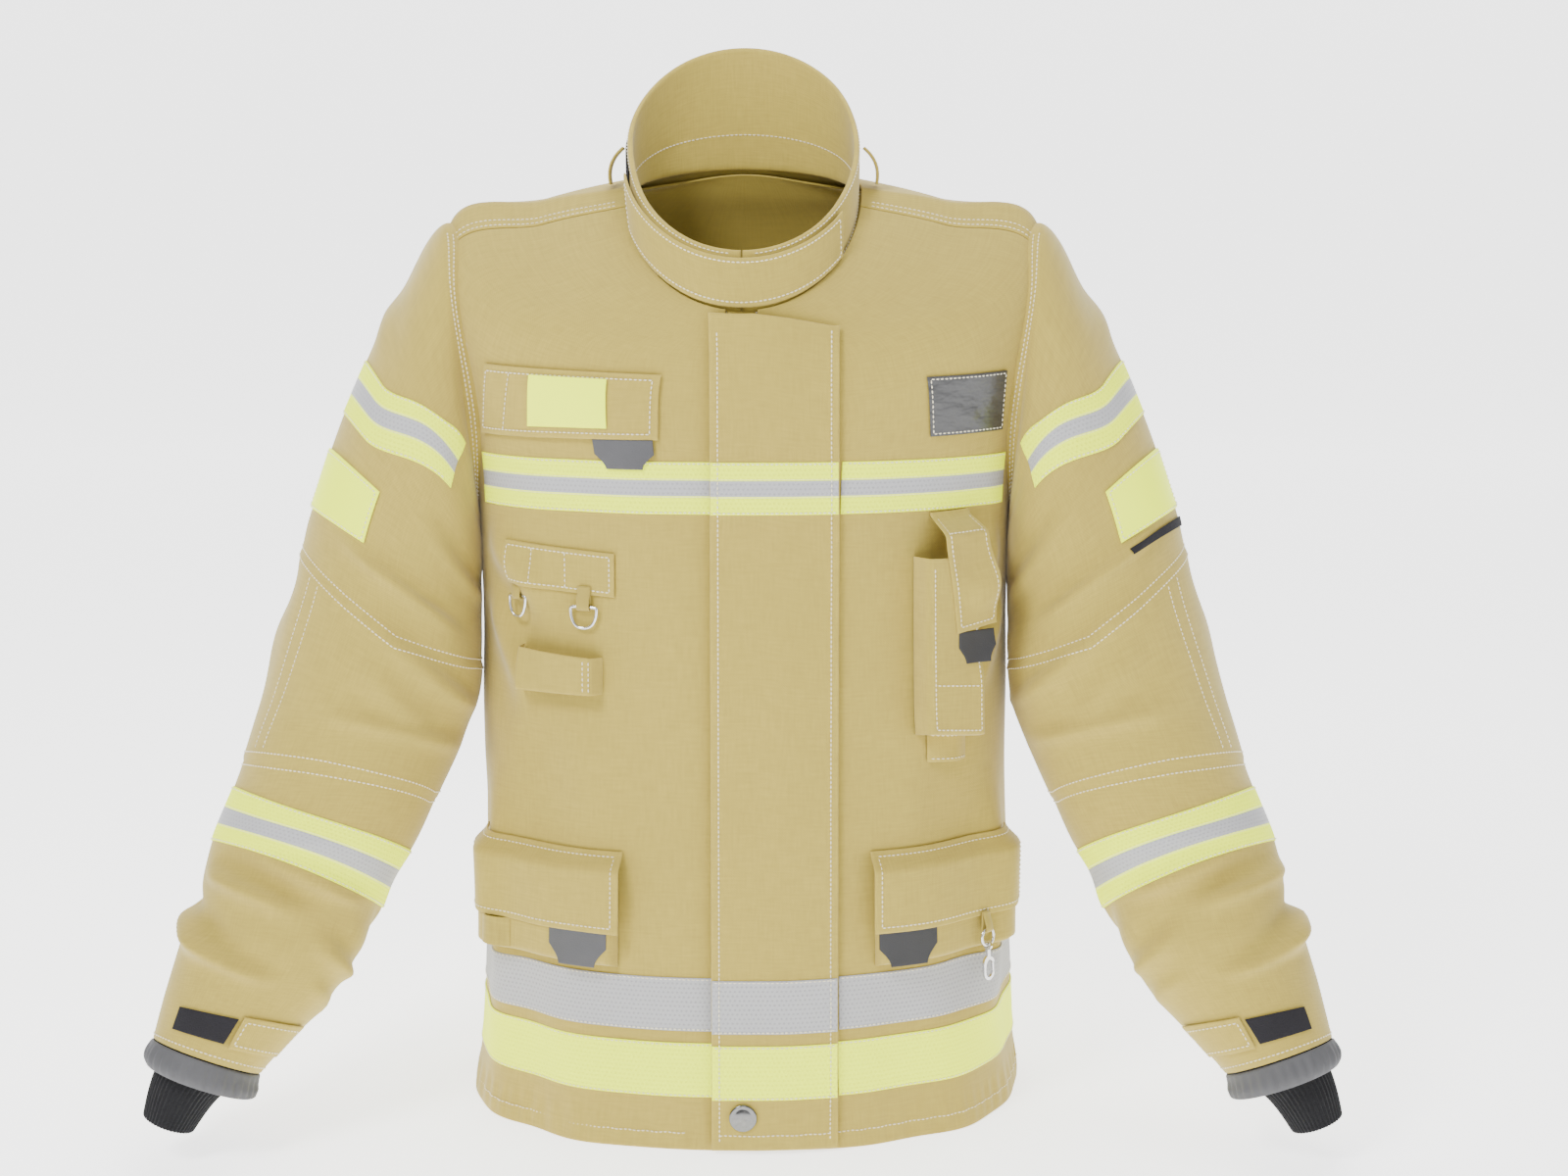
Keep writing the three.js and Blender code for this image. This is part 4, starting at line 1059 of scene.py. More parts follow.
class Front:
    """The body's front read by x and height instead of by angle."""

    by_height = True

    def point(self, x, z):
        return BODY_AT.point(theta_at(x, z), z)

    def middle(self, x, z, p):
        return BODY_AT.middle(x, z, p)

    def drape(self, x, z, p):
        return BODY_AT.drape(theta_at(x, z), z, p)


FRONT = Front()


def flap_chart(x0, x1, z0, z1):
    """A patch of the front between two x and two heights."""
    return lambda s, w: (lerp(x0, x1, s), lerp(z0, z1, w))


class CoatClosure(bpy.types.Operator):
    """Make the zip, the storm flap over it and the snap at its foot"""

    bl_idname = "coat.closure"
    bl_label = "Closure"

    def execute(self, context):
        thick = context.scene.coat_sizes.cloth * 1000
        long = ZIP_TOP_Z - ZIP_FOOT_Z
        for side, sign in (("left", 1), ("right", -1)):
            tape = flap_chart(sign * 1.2, sign * (ZIP_HALF + 5), ZIP_FOOT_Z, ZIP_TOP_Z)
            patch("zip_tape_cloth_" + side, FRONT, tape, (17.8, long), -2.6, 1.2, FINISH["zip_tape_cloth"],
                  nodes=("zip_tape_" + side,), pitch=5, rim=0.5)
            # Teeth: small bars across the tape's inner edge, those of one side between the other's.
            z = np.arange(ZIP_FOOT_Z + 4, ZIP_TOP_Z - 4, 5.0) + (2.5 if sign > 0 else 0)
            p, n = lifted(FRONT, np.full(z.shape, sign * 1.6), z, -1.1)
            ends = np.array([[a, b, c] for a in (-2.4, 2.4) for b in (-1.1, 1.1) for c in (-0.8, 0.8)])
            up = np.cross(n, np.array([[1.0, 0, 0]]))
            box = p[:, None] + ends[None, :, :1] * np.array([1.0, 0, 0]) + ends[None, :, 1:2] * up[:,
                    None] + ends[None, :, 2:] * n[:, None]
            quads = np.array([[0, 1, 3, 2], [4, 6, 7, 5], [0, 4, 5, 1], [2, 3, 7, 6], [0, 2, 6, 4],
                              [1, 5, 7, 3]])
            faces = (np.arange(len(z))[:, None, None] * 8 + quads[None]).reshape(-1, 4)
            put("zip_teeth_" + side, outward(mesh_of("teeth", box.reshape(-1, 3), [faces],
                                                     smooth_faces=False)),
                FINISH["bright_metal"])
        # Facing that closes the front edges down to the hem, under the zip.
        under = flap_chart(-ZIP_HALF - 6, ZIP_HALF - 1, HEM_Z + 0.5, ZIP_FOOT_Z - 4)
        patch("zip_foot_tongue", FRONT, under, (33, 57), -thick, thick - 0.3, FINISH["outer_cloth"],
              pitch=4, rim=1.5)
        patch("throat_facing", FRONT, flap_chart(-ZIP_HALF - 8, ZIP_HALF + 8, 700, 744), (44, 44),
              -thick - 2.5, 2,
              FINISH["outer_cloth"], pitch=4, rim=1)

        def chart(s, w):
            """The flap's top goes up under the throat tab and slopes down to its sewn edge."""
            x = lerp(FLAP_FREE_X, FLAP_SEWN_X, s)
            return x, lerp(FLAP_FOOT_Z, FLAP_TOP_Z + 12 * np.clip((80 - x) / 70, 0, 1), w)

        size = (115, 740)
        lift = lambda s, w: flap_lift(lerp(FLAP_FREE_X, FLAP_SEWN_X, s))
        flap = patch("storm_flap_cloth", FRONT, chart, size, 0, thick, FINISH["outer_cloth"], "storm_flap",
                     ("storm_flap",), pitch=3.2, rim=1.8, lift=lift)
        z = np.linspace(FLAP_FOOT_Z + 8, FLAP_TOP_Z - 4, 900)
        band_rise = sum(smooth((z - a + 1) / 1.5) * smooth((b - z + 1) / 1.5) for a,
                        b in (CHEST_BAND_Z, SILVER_BAND_Z, YELLOW_BAND_Z))
        for x, z_low in ((FLAP_FREE_X + 7.0, 0), (FLAP_SEWN_X - 7.0, 0)):
            run(FRONT, np.full(z.shape, x), z, flap_lift(x) + thick + 0.15 + 1.4 * band_rise)
        x = np.linspace(FLAP_FREE_X + 6, FLAP_SEWN_X - 6, 160)
        run(FRONT, x, np.full(x.shape, FLAP_FOOT_Z + 14), flap_lift(x) + thick + 0.15)
        stitches = sew("storm_flap_stitches", "storm_flap")
        cloth_sheet(flap)
        # Snap: a domed cap with a rolled edge, turned about its seat's outward axis.
        profile = np.array([[0, 3.4], [4, 3.25], [8, 2.7], [10.4, 1.9], [11.3, 2.3], [12.2, 1.9],
                            [12.6, 1.1], [12.2, 0.2], [11, 0], [0, 0]])
        a = np.linspace(0, 2 * math.pi, 40, endpoint=False)
        place = seat(0, SNAP_Z, 5.8 + thick + GAP)
        rim = profile[1:-1]
        points = np.concatenate([np.stack([r * np.cos(a), r * np.sin(a), a * 0 + h], -1) for r,
                                 h in rim] + [[[0, 0, 3.4], [0, 0, 0]]])
        rows = np.arange(len(rim) * 40).reshape(len(rim), 40)
        nxt = np.roll(rows, -1, 1)
        faces = [np.stack([rows[:-1], rows[1:], nxt[1:], nxt[:-1]], -1).reshape(-1, 4)]
        top, foot = np.full(40, len(rim) * 40), np.full(40, len(rim) * 40 + 1)
        faces += [np.stack([top, rows[0], nxt[0]], -1), np.stack([foot, nxt[-1], rows[-1]], -1)]
        put("snap_dome", outward(mesh_of("snap", local(place, points), faces)), FINISH["dark_metal"],
            "storm_flap",
            ("snap_cap",))
        return {"FINISHED"}


class CoatBands(bpy.types.Operator):
    """Make the reflective bands round the body and over the storm flap"""

    bl_idname = "coat.bands"
    bl_label = "Bands"

    def execute(self, context):
        thick = context.scene.coat_sizes.cloth * 1000
        looks = {"chest": ("striped_tape", CHEST_BAND_Z, "yellow_tape"),
                 "silver": ("silver_tape", SILVER_BAND_Z, "silver_tape"),
                 "yellow": ("yellow_tape", YELLOW_BAND_Z, "yellow_tape")}
        for name, (finish, (z0, z1), slot) in looks.items():
            chart = flap_chart(FLAP_FREE_X + 0.5, FLAP_SEWN_X - 1, z0, z1)
            lift = lambda s, w: flap_lift(lerp(FLAP_FREE_X + 0.5, FLAP_SEWN_X - 1, s))
            size = (112, z1 - z0)
            patch("flap_" + name + "_tape", FRONT, chart, size, thick + 0.1, 1.0, FINISH[finish],
                  "storm_flap", ("flap_" + name + "_band",), pitch=3, rim=0.8, lift=lift)
            hem_run(FRONT, chart, size, 1.6, thick + 1.3, "bt", lift)
            ends = (float(theta_at(FLAP_SEWN_X + 1.5, z0)), float(theta_at(-ZIP_HALF - 1, z0)))
            if name == "chest":
                spans = {"chest_band_right": (-160, ends[1]), "chest_band_left": (ends[0], -20),
                         "chest_band_back": (22, 158)}
            else:
                spans = {name + "_band": (ends[0], 360 + ends[1])}
            sew("flap_" + name + "_tape_stitches", "storm_flap")
            for node, (t0, t1) in spans.items():
                chart = flap_chart(t0, t1, z0, z1)
                size = ((t1 - t0) * 3.8, z1 - z0)
                keep = (lambda p: ~inside_sleeve(p, 0.93)) if name == "chest" else None
                patch(node + "_tape", BODY_AT, chart, size, 0.25, 1.0, FINISH[finish], nodes=(node,),
                      pitch=3.6, rim=0.8, keep=keep)
                hem_run(BODY_AT, chart, size, 1.6, 1.35, "bt") if name != "chest" else None
                if name == "chest":
                    s = np.linspace(0.02, 0.98, 400)
                    for w in (0.035, 0.965):
                        u, v = chart(s, w + 0 * s)
                        keep_run = ~inside_sleeve(BODY_AT.point(u, v), 1.0)
                        run(BODY_AT, u[keep_run], v[keep_run], 1.35)
            sew(name + "_tape_stitches")
        return {"FINISHED"}


def tab_chart(a0, a1, top, foot):
    """A pull tab that narrows towards its foot, along a curve that keeps its shoulders wide."""
    def chart(s, w):
        half = (a1 - a0) / 2 * np.where(w < 0.5, lerp(0.62, 1.0, smooth(w / 0.5 * 0.5) * 2), 1.0)
        return (a0 + a1) / 2 + (2 * s - 1) * half, lerp(foot, top, w)
    return chart


class CoatRightChest(bpy.types.Operator):
    """Make the badge flap with its plate and tab, the tool strip with its rings and the torch loop"""

    bl_idname = "coat.right_chest"
    bl_label = "Right chest"

    def execute(self, context):
        chart = corners((-156, 632), (-103.5, 632), (-102, 689), (-145, 696))
        size = (182, 62)
        patch("badge_flap", BODY_AT, chart, size, 1.2, 2.6, FINISH["outer_cloth"], "id_flap", ("id_flap",),
              pitch=2.5, rim=2,
              lift=lambda s, w: 1.2 * np.sin(np.pi * s) * (1 - w))
        hem_run(BODY_AT, chart, size, 5.5, 4.4, lift=lambda s, w: 1.2 * np.sin(np.pi * s) * (1 - w))
        for s in (0.225,):
            w = np.linspace(0.08, 0.92, 60)
            run(BODY_AT, *chart(s + 0 * w, w), 4.6 + 0.5 * (1 - w))
        sew("badge_flap_stitches", "id_flap")
        plate = corners((-134, 642), (-113.5, 642), (-112, 685), (-130, 688))
        patch("badge_plate", BODY_AT, plate, (82, 44), 5.6, 1.2, FINISH["plate_vinyl"], "id_flap",
              ("id_plate",), pitch=4, rim=0.8)
        tab = tab_chart(-117.5, -104.5, 632, 606)
        patch("badge_tab", BODY_AT, tab, (56, 27), 2.6, 1.8, FINISH["grey_rubber"], "id_flap", ("id_tab",),
              pitch=2, rim=1.2)
        strip = corners((-145.5, 499), (-114, 492), (-114, 531), (-146, 538))
        size = (108, 39)
        patch("tool_strip_cloth", BODY_AT, strip, size, 0.6, 2.4, FINISH["outer_cloth"],
              nodes=("tool_strip",), pitch=2.5, rim=1.6)
        hem_run(BODY_AT, strip, size, 4, 3.2)
        for s in (0.29, 0.6):
            w = np.linspace(0.08, 0.92, 60)
            run(BODY_AT, *strip(s + 0 * w, w), 3.2)
        torch = corners((-140.5, 405), (-117, 405), (-117, 438), (-140.5, 444))
        rise = lambda s, w: (TORCH_DEPTH - 2.4) * smooth(np.minimum(s, 1 - s) * 84 / 7) ** 0.7
        patch("torch_strap", BODY_AT, torch, (84, 36), 1, 2.4, FINISH["outer_cloth"], nodes=("torch_loop",),
              pitch=2.2, rim=2, lift=rise)
        for s in (0.86, 0.92):
            w = np.linspace(0.08, 0.92, 60)
            run(BODY_AT, *torch(s + 0 * w, w), 3.6 + rise(s, w))
        sew("right_chest_stitches")
        for name, x, z, wide, stretch in (("outer", -201, 500, 10, 1.0), ("inner", -140, 495, 12, 1.3)):
            hanging_loop("ring_loop_" + name, seat(x, z, 0.6), wide, 16)
            d_ring("d_ring_" + name, seat(x, z, 0.6), 16, 9.6 * stretch, "d_ring_" + name)
        return {"FINISHED"}


def hanging_loop(name, place, width, hang, nodes=()):
    """A webbing loop: a strap that goes down the cloth, round an eye and back up in a drop shape."""
    r = 2.9
    bend = np.linspace(math.pi, 2 * math.pi, 14)
    down = np.stack([np.linspace(6, -hang + 3.7, 10), np.linspace(1.4, 0.8, 10)], -1)[:-1]
    round_eye = np.stack([-hang + 3.7 + r * np.sin(bend), 3.7 + r * np.cos(bend)], -1)
    up = np.stack([np.linspace(-hang + 3.7, 6, 10), lerp(6.6, 3.0, smooth(np.linspace(0, 1, 10)))], -1)[1:]
    path = np.concatenate([down, round_eye, up])
    points = np.concatenate([np.zeros((len(path), 1)), path], 1)
    made, faces = carried(points, np.array([[1.0, 0, 0]]), strap_profile(width, 1.5), False)
    return put(name, outward(mesh_of(name, local(place, made), faces)), FINISH["webbing"], nodes=nodes)


def d_ring(name, place, hang, half, node, radius=1.45):
    """A D-shaped wire ring: a straight bar through the loop's eye, then a half ellipse below it."""
    corner = np.linspace(0, 1, 60, endpoint=False) * 2 * math.pi
    x = half * np.sign(np.cos(corner)) * np.abs(np.cos(corner)) ** 0.75
    y = np.where(np.sin(corner) > 0, 2.2 * np.abs(np.sin(corner)) ** 0.45, 17.0 * np.sin(corner))
    top = -hang + 3.7
    path = np.stack([x, y + top - 2.2, x * 0 + 3.7], -1)
    made, faces = carried(path, np.array([[0, 0, 1.0]]), disc(radius, 12), True)
    return put(name + "_wire", outward(mesh_of(name, local(place, made), faces)), FINISH["bright_metal"],
               node, (node,))


class CoatLeftChest(bpy.types.Operator):
    """Make the microphone tab, the name patch and the radio pocket with its flap"""

    bl_idname = "coat.left_chest"
    bl_label = "Left chest"

    def execute(self, context):
        mic = lambda s, w: (lerp(141, 227, s), lerp(lerp(800, 784, s), lerp(821, 806, s), w))
        arch = lambda s, w: 5.5 * np.abs(np.sin(2 * np.pi * s)) ** 0.8
        patch("microphone_tab", FRONT, mic, (96, 24), 0.8, 2.2, FINISH["outer_cloth"], nodes=("mic_loop",),
              pitch=2.2, rim=1.6, lift=arch)
        hem_run(FRONT, mic, (96, 24), 3.5, 3.2, lift=arch)
        w = np.linspace(0.1, 0.9, 40)
        run(FRONT, *mic(0.5 + 0 * w, w), 3.1)
        name = corners((-52.8, 633), (-25.5, 635), (-30, 689), (-56.8, 686))
        patch("name_field", BODY_AT, name, (84, 58), 0.8, 1.6, FINISH["glossy_patch"],
              nodes=("name_patch",), pitch=2.5, rim=1.2)
        hem_run(BODY_AT, name, (84, 58), 2.6, 2.5)
        radio = corners((-54.8, 366), (-37.2, 358), (-38.2, 525), (-55.2, 527))
        size = (66, 165)
        deep = RADIO_DEPTH - 2.2
        box_rise = lambda s, w: deep * smooth(np.minimum(np.minimum(s, 1 - s) * size[0],
                                                         w * size[1]) / 6) ** 0.6
        patch("radio_pocket_cloth", BODY_AT, radio, size, 1, 2.2, FINISH["outer_cloth"],
              nodes=("radio_pocket",), pitch=2.4, rim=3, lift=box_rise)
        hem_run(BODY_AT, radio, size, 9, deep + 3.4, "lrb")
        s = np.linspace(0.16, 0.84, 80)
        run(BODY_AT, *radio(s, 0.3 + 0 * s), deep + 3.4)
        # Cable loop below the pocket.
        cable = corners((-51.5, 340), (-38.5, 338), (-38.5, 364), (-51.5, 368))
        loop_rise = lambda s, w: 8 * np.sin(np.pi * s)
        patch("radio_cable_loop", BODY_AT, cable, (50, 26), 0.8, 1.8, FINISH["outer_cloth"], pitch=2.4,
              rim=1.4, lift=loop_rise)
        hem_run(BODY_AT, cable, (50, 26), 3, 2.8, "bt", loop_rise)
        sew("left_chest_stitches")
        flap = corners((-46.7, 458), (-33.5, 464), (-37.2, 566), (-50.8, 565))
        size = (52, 104)
        lift = lambda s, w: lerp(RADIO_DEPTH + 2 * GAP, 1, smooth((w - 0.8) / 0.2))
        patch("radio_flap_cloth", BODY_AT, flap, size, 0, 2.4, FINISH["outer_cloth"], "radio_flap",
              ("radio_flap",), pitch=2.2, rim=1.8, lift=lift)
        hem_run(BODY_AT, flap, size, 5, 2.6, "blr", lift)
        run(BODY_AT, *flap(np.linspace(0.1, 0.9, 60), np.full(60, 0.84)), 2.6 + lift(0, 0.84))
        sew("radio_flap_stitches", "radio_flap")
        patch("radio_pull", BODY_AT, tab_chart(-46, -34.5, 459, 430), (46, 30), RADIO_DEPTH + GAP, 1.8,
              FINISH["dark_rubber"],
              "radio_flap", ("radio_tab",), pitch=2, rim=1.2)
        return {"FINISHED"}


class CoatPockets(bpy.types.Operator):
    """Make the two lower pockets with their flaps, tabs and loops, and the snap hook's ring"""

    bl_idname = "coat.pockets"
    bl_label = "Lower pockets"

    def execute(self, context):
        sides = {"right": (-164, -112.3, (-129.5, -115), "grey_rubber", "grey_tab"),
                 "left": (-66, -16.5, (-65, -50.5), "dark_rubber", "dark_tab")}
        deep = POCKET_DEPTH - 2.2
        for side, (a0, a1, tab, finish, slot) in sides.items():
            pocket = flap_chart(a0 + 1.1, a1 - 1.1, POCKET_Z[0], POCKET_Z[0] + 66)
            size = (185, 66)
            rise = lambda s, w: deep * smooth(np.minimum(np.minimum(s, 1 - s) * size[0],
                                                         w * size[1]) / 6) ** 0.6
            patch(side + "_pocket_cloth", BODY_AT, pocket, size, 1, 2.2, FINISH["outer_cloth"],
                  nodes=(side + "_pocket",), pitch=3, rim=3, lift=rise)
            flap = flap_chart(a0, a1, *POCKET_FLAP_Z)
            fsize = (190, 76)
            slack = lambda s, w: (1 - w) * 1.0 * np.sin(2.5 * np.pi * s) ** 2
            lift = lambda s, w: lerp(POCKET_DEPTH + 2 * GAP, 1, smooth((w - 0.76) / 0.24)) + slack(s, w)
            patch(side + "_pocket_flap_cloth", BODY_AT, flap, fsize, 0, 2.6, FINISH["outer_cloth"],
                  side + "_pocket_flap",
                  (side + "_pocket_flap",), pitch=2.6, rim=2, lift=lift)
            hem_run(BODY_AT, flap, fsize, 6, 2.8, "blr", lift)
            run(BODY_AT, *flap(np.linspace(0.03, 0.97, 200), np.full(200, 0.94)),
                2.8 + lift(np.linspace(0.03, 0.97, 200), 0.94))
            sew(side + "_pocket_flap_stitches", side + "_pocket_flap")
            patch(side + "_pocket_pull", BODY_AT, tab_chart(*tab, POCKET_FLAP_Z[0] + 3, 158), (56, 34),
                  POCKET_DEPTH + GAP, 1.8,
                  FINISH[finish], side + "_pocket_flap", (side + "_pocket_tab",), pitch=2, rim=1.2)
        loop = corners((-150.5, 163), (-142, 163), (-142, 190), (-150.5, 190))
        patch("right_pocket_strap", BODY_AT, loop, (32, 27), POCKET_DEPTH + GAP, 1.6, FINISH["webbing"],
              nodes=("right_pocket_loop",),
              pitch=2, rim=1, lift=lambda s, w: 5 * np.sin(np.pi * s))
        hook_seat = seat(211, 188.5, POCKET_DEPTH + 1.2)
        hanging_loop("left_pocket_strap", hook_seat, 9, 14, ("left_pocket_loop",))
        a = np.linspace(0, 2 * math.pi, 48, endpoint=False)
        path = np.stack([8 * np.cos(a), 8 * np.sin(a) - 8 - 14 + 3.7, a * 0 + 3.7], -1)
        made, faces = carried(path, np.array([[0, 0, 1.0]]), disc(1.4, 12), True)
        put("hook_ring_wire", outward(mesh_of("hook_ring_wire", local(hook_seat, made), faces)),
            FINISH["bright_metal"],
            "hook_ring", ("hook_ring",))
        for node in ("hook_body", "hook_gate", "zip_slider", "zip_pull", "snap_stud"):
            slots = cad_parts[node].material_slots
            for k in range(len(slots)):
                slots[k].material = FINISH["bright_metal"]
        return {"FINISHED"}


# ---------------------------------------------------------------- sleeves
UPPER_SEAM = np.array([(6, 6.11), (66, 6.55), (98, 6.73), (162, 6.32), (230, 6.1), (300, 6.0)])
LOWER_SEAM = np.array([(-3, 8.8), (82, 9.0), (171, 9.3), (270, 9.0)])


def seam_row(seam, phi):
    """The ring number of a seam that goes round the sleeve, at an angle."""
    return np.interp(phi, seam[:, 0], seam[:, 1], period=360)


class CoatSleeves(bpy.types.Operator):
    """Make the sleeves with their bands, plates and elbow seams"""

    bl_idname = "coat.sleeves"
    bl_label = "Sleeves"

    def execute(self, context):
        thick = context.scene.coat_sizes.cloth * 1000
        for side, tube in SLEEVES.items():
            def elbow(s, w):
                """The elbow's second layer stands a little proud between its two seams."""
                phi, t = 360 * s, CUFF_T * w
                up, low = seam_row(UPPER_SEAM, phi), seam_row(LOWER_SEAM, phi)
                return 1.3 * smooth((t - up) / 0.07) * smooth((low - t) / 0.07)

            chart = lambda s, w: (360 * s, CUFF_T * w)
            piece = patch(side + "_sleeve_cloth", tube, chart, (560, 800), -thick, thick,
                          FINISH["outer_cloth"],
                          nodes=(side + "_sleeve",), pitch=4.2, rim=2, ring=True, lift=elbow,
                          keep=lambda p: depth_in_body(p) < 6)
            band_top = lambda phi: lerp(3.18, 1.43, smooth((np.abs(phi) - 42) / 82))
            band_foot = lambda phi: lerp(3.95, 3.0, smooth((np.abs(phi) - 48) / 75))
            upper = lambda s, w: (lerp(-111, 111, s), lerp(band_foot(lerp(-111, 111, s)),
                                                           band_top(lerp(-111, 111, s)), w))
            clear = lambda p: depth_in_body(p) < 3
            patch(side + "_upper_tape", tube, upper, (320, 52), 0.3, 1.0, FINISH["striped_tape"],
                  nodes=(side + "_upper_band",),
                  pitch=3.2, rim=0.8, keep=clear)
            low_row = lambda phi: 9.2 + 0.95 * np.sin(np.radians(phi) / 2) ** 2
            lower = lambda s, w: (360 * s, low_row(360 * s) + 0.88 * (1 - w))
            patch(side + "_lower_tape", tube, lower, (470, 52), 0.35, 1.0, FINISH["striped_tape"],
                  nodes=(side + "_lower_band",),
                  pitch=3.2, rim=0.8, ring=True)
            s = np.linspace(0, 1, 500)
            for w in (0.035, 0.965):
                run(tube, *lower(s, w + 0 * s), 1.45)
                run(tube, *upper(lerp(0.03, 0.97, s), w + 0 * s), 1.4)
            plate = corners((2, 5.15), (71, 5.1), (71, 4.3), (-4, 4.38))
            patch(side + "_sleeve_badge", tube, plate, (88, 47), 0.9, 1.3, FINISH["plate_vinyl"],
                  nodes=(side + "_sleeve_plate",),
                  pitch=3, rim=0.8)
            hem_run(tube, plate, (88, 47), 2.5, 2.3)
            if side == "left":
                patch("left_sleeve_hook_strip", tube, corners((-4, 5.62), (66, 5.55), (68, 5.32),
                                                              (-2, 5.36)), (88, 15), 0.5, 1.6,
                      FINISH["hook_strip"], pitch=3, rim=1)
            # Elbow seams: two rows round the sleeve at each end, and two rows down its outer front.
            phi = np.linspace(-60, 220, 700)
            for step in (-0.05, 0.14):
                run(tube, phi, seam_row(UPPER_SEAM, phi) + step, 0.1 if step < 0 else 1.45)
                run(tube, phi, seam_row(LOWER_SEAM, phi) - step, 0.1 if step < 0 else 1.45)
            for angle in (36, 45, 214, 223):
                t = np.linspace(float(seam_row(UPPER_SEAM, angle)) + 0.2,
                                float(seam_row(LOWER_SEAM, angle)) - 0.2, 200)
                run(tube, angle + 0 * t, t, 1.45)
            # Armhole: rows on the body's edge follow the ring at which the sleeve leaves the body.
            phi = np.linspace(-190, 170, 500)
            t = np.linspace(0.2, 5, 260)
            out_of = depth_in_body(tube.point(phi[:, None] + 0 * t, t + 0 * phi[:, None])) > -0.5
            last = t[np.where(out_of.any(1), out_of.shape[1] - 1 - np.argmax(out_of[:, ::-1], 1), 0)]
            last = np.convolve(np.pad(last, 8, mode="edge"), np.ones(17) / 17, "valid")
            front = (phi > 20) & (phi < 150)
            rear = (phi < -20) & (phi > -150)
            for part in (front, rear):
                for step in (0.1, 0.24):
                    run(tube, phi[part], last[part] + step, 0.12)
            stitches = sew(side + "_sleeve_stitches")
            cloth_sheet(piece)
        return {"FINISHED"}


class CoatCuffs(bpy.types.Operator):
    """Make the cuff straps, hook strips, gaiters and knitted wristlets"""

    bl_idname = "coat.cuffs"
    bl_label = "Cuffs"

    def execute(self, context):
        for side, tube in SLEEVES.items():
            strap = corners((109, 13.75), (168, 13.72), (168, 13.36), (107, 13.38))
            size = (58, 24)
            body = side + "_cuff_strap"
            patch(side + "_cuff_strap_cloth", tube, strap, size, 1.5, 2.2, FINISH["outer_cloth"], body,
                  (body,), pitch=2, rim=1.6)
            hem_run(tube, strap, size, 3.5, 3.8)
            sew(side + "_cuff_strap_stitches", body)
            patch(side + "_cuff_hook_strip", tube, corners((52, 13.72), (104, 13.72), (104, 13.42),
                                                           (52, 13.42)), (62, 19), 0.5, 1.6,
                  FINISH["hook_strip"], pitch=3, rim=1)
            s = np.linspace(0, 1, 400)
            run(tube, 360 * s, 13.9 + 0 * s, 0.12)
            sew(side + "_cuff_stitches")
            # The gaiter is gathered by its elastic: it swells between its edges and puckers round.
            gather = lambda s, w: np.sin(np.pi * w) * (3.2 + 0.9 * np.sin(2 * np.pi * 34 * s) + 0.5
                                                       * np.sin(2 * np.pi * 13 * s))
            patch(side + "_gaiter", tube, lambda s, w: (360 * s, lerp(CUFF_T + 0.02, 14.78, w)), (300, 40),
                  -2, 3, FINISH["grey_rubber"],
                  nodes=(side + "_cuff_gaiter",), pitch=1.7, rim=2, ring=True, lift=gather)
            ribs = lambda s, w: 0.55 * np.sin(2 * np.pi * 44 * s) + 0.6 * np.sin(3 * np.pi * w + 5 * s)
            knit = patch(side + "_wristlet_knit", WRISTS[side], lambda s, w: (360 * s, 3 * w), (240, 75),
                         -2, 2, FINISH["knit"],
                         nodes=(side + "_wristlet",), pitch=1.1, rim=1.2, ring=True, lift=ribs)
            cloth_sheet(knit)
        return {"FINISHED"}


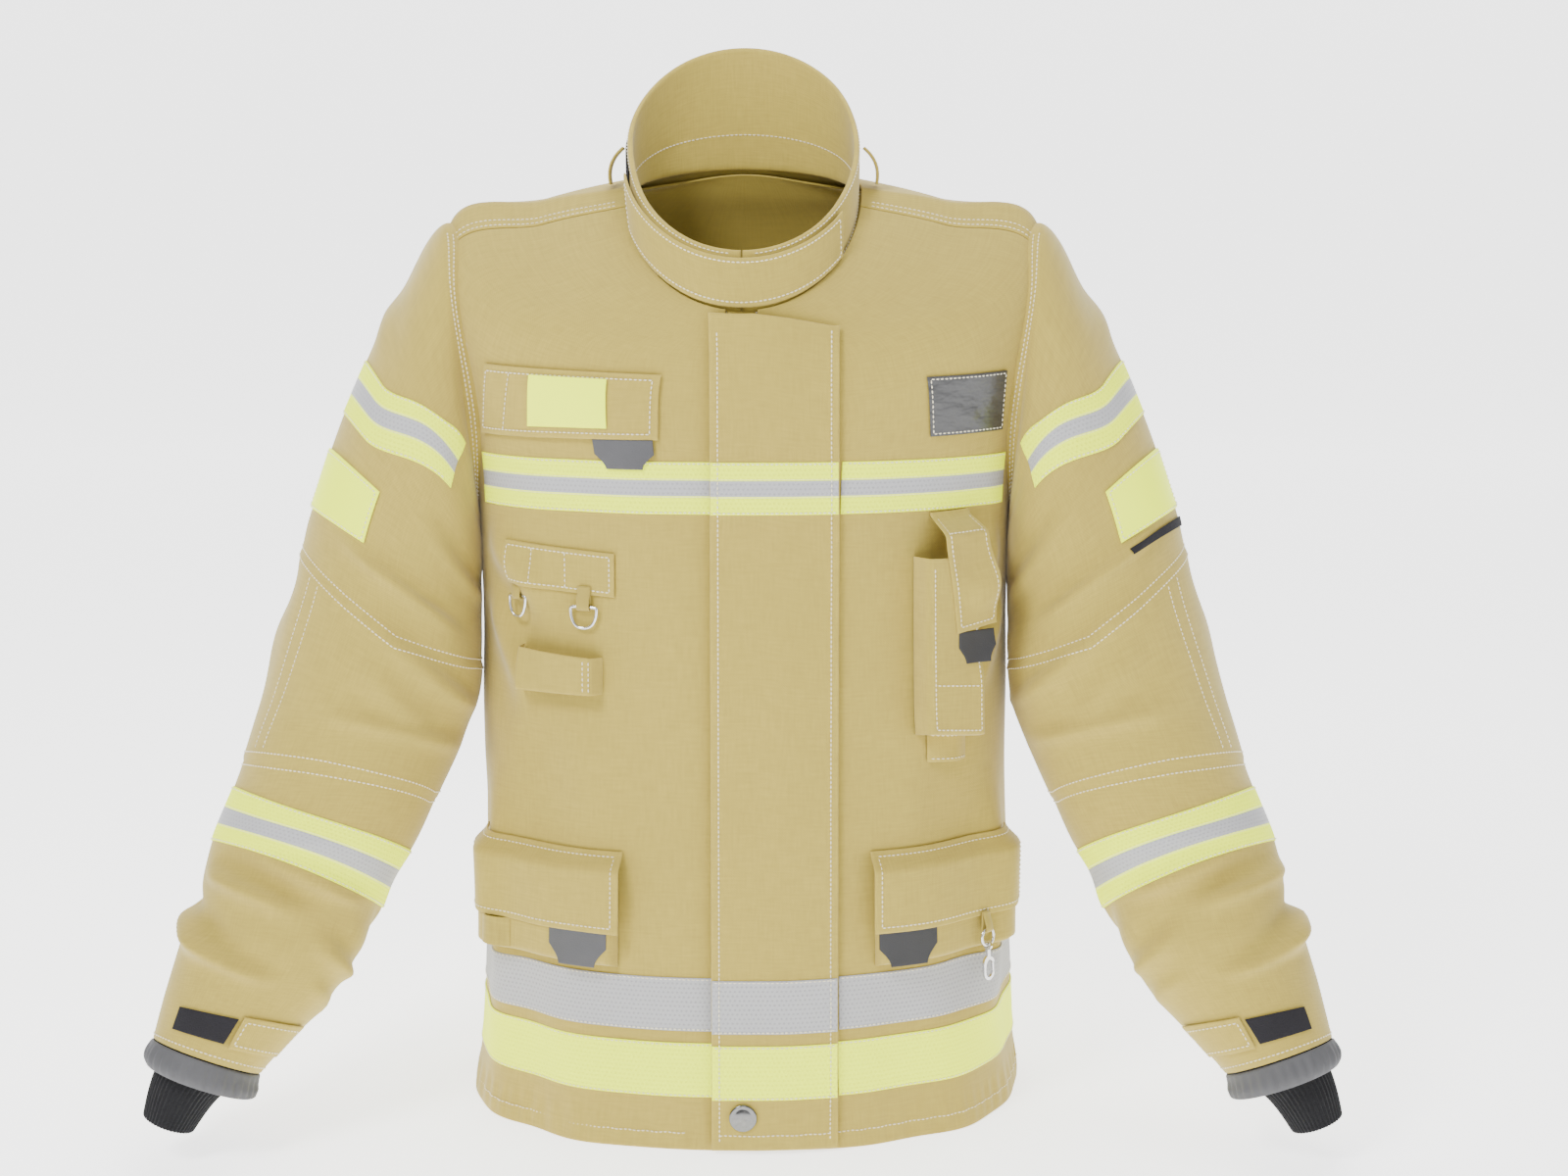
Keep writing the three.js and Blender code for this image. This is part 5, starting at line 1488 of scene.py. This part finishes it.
class CoatStageBuild(bpy.types.Operator):
    """Make the floor, the light and the camera"""

    bl_idname = "coat.stage_build"
    bl_label = "Stage"

    def execute(self, context):
        stage = context.scene.coat_stage
        # The floor sweeps up behind the coat along a quarter circle.
        bend = np.linspace(0, math.pi / 2, 24)
        y = np.concatenate([[-9.0], 5 + 3 * np.sin(bend), [8.0]])
        z = np.concatenate([[0.0], 3 - 3 * np.cos(bend), [9.0]])
        x = np.array([-12.0, 12.0])
        grid = np.stack([np.broadcast_to(x, (len(y), 2)), np.broadcast_to(y[:, None], (len(y), 2)),
                         np.broadcast_to(z[:, None], (len(y), 2))], -1)
        index = np.arange(len(y) * 2).reshape(-1, 2)
        faces = np.stack([index[:-1, 0], index[:-1, 1], index[1:, 1], index[1:, 0]], -1)
        mesh = bpy.data.meshes.new("floor")
        mesh.from_pydata(grid.reshape(-1, 3).tolist(), [], faces.tolist())
        mesh.polygons.foreach_set("use_smooth", np.ones(len(faces), bool))
        f = Finish("floor_paper", Roughness=0.9, Specular_IOR_Level=0.1, Emission_Color=(1, 1, 1, 1),
                   Emission_Strength=2.2)
        f.feed("Base Color", f.mix(f.noise(3.0), (0.86, 0.86, 0.86, 1), (0.9, 0.9, 0.9, 1)))
        mesh.materials.append(f.material)
        floor = bpy.data.objects.new("floor", mesh)
        context.scene.collection.objects.link(floor)
        floor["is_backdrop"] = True
        world = bpy.data.worlds.new("studio")
        context.scene.world = world
        world.use_nodes = True
        world.node_tree.nodes["Background"].inputs[0].default_value = (1, 1, 1, 1)
        world.node_tree.nodes["Background"].inputs[1].default_value = 0.5 * stage.light
        for name, place, size, power in (("key", (-1.6, -1.9, 2.9), 1.0, 105),
                                         ("fill", (2.4, -2.2, 1.2), 2.4, 20),
                                         ("top", (0.2, 0.4, 3.0), 1.6, 60)):
            data = bpy.data.lights.new(name, "AREA")
            data.size, data.energy = size, power * stage.light
            lamp = bpy.data.objects.new(name, data)
            context.scene.collection.objects.link(lamp)
            aim = np.array([0, 0, 0.5]) - np.array(place)
            back = -aim / np.linalg.norm(aim)
            right = np.cross([0, 0, 1], back)
            right /= np.linalg.norm(right)
            up = np.cross(back, right)
            turn = Matrix([[*row] for row in np.stack([right, up, back], 1)]).to_4x4()
            lamp.matrix_world = Matrix.Translation(place) @ turn
        data = bpy.data.cameras.new("camera")
        data.lens, data.sensor_width = stage.lens, 36
        data.clip_start, data.clip_end = 0.05, 60
        camera = bpy.data.objects.new("camera", data)
        context.scene.collection.objects.link(camera)
        camera.location = (0.037, -stage.away, stage.height)
        camera.rotation_euler = (math.pi / 2 - stage.tilt, 0, 0)
        context.scene.camera = camera
        return {"FINISHED"}


BUILDERS = [CoatStageBuild, CoatBodyPanels, CoatCollar, CoatClosure, CoatBands, CoatRightChest,
            CoatLeftChest,
            CoatPockets, CoatSleeves, CoatCuffs]


class CoatPanel(bpy.types.Panel):
    """Lists the coat's sizes, colours and pieces"""

    bl_idname = "VIEW3D_PT_coat"
    bl_label = "Turnout coat"
    bl_space_type = "VIEW_3D"
    bl_region_type = "UI"
    bl_category = "Coat"

    def draw(self, context):
        for group in (context.scene.coat_sizes, context.scene.coat_colours, context.scene.coat_stage):
            for key in group.__annotations__:
                self.layout.prop(group, key)
        for builder in BUILDERS:
            self.layout.operator(builder.bl_idname)


CLASSES = [CoatSizes, CoatColours, CoatStage, *BUILDERS, CoatPanel]


def register():
    for made in CLASSES:
        bpy.utils.register_class(made)
    bpy.types.Scene.coat_sizes = bpy.props.PointerProperty(type=CoatSizes)
    bpy.types.Scene.coat_colours = bpy.props.PointerProperty(type=CoatColours)
    bpy.types.Scene.coat_stage = bpy.props.PointerProperty(type=CoatStage)


def unregister():
    for name in ("coat_sizes", "coat_colours", "coat_stage"):
        delattr(bpy.types.Scene, name)
    for made in reversed(CLASSES):
        bpy.utils.unregister_class(made)


def main():
    """Registers the add-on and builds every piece."""
    register()
    scene = bpy.context.scene
    FOLD_SHARE[0] = scene.coat_sizes.folds
    STITCH[:] = [scene.coat_sizes.stitch * 1000, scene.coat_sizes.thread * 1000]
    make_finishes(scene.coat_colours)
    for builder in BUILDERS:
        area, name = builder.bl_idname.split(".")
        getattr(getattr(bpy.ops, area), name)()
    plain = lambda box: [[float(x) for x in corner] for corner in box]
    {"cad": plain(CAD_BOX), "visual": plain(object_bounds())}


if __name__ == "__main__":
    main()
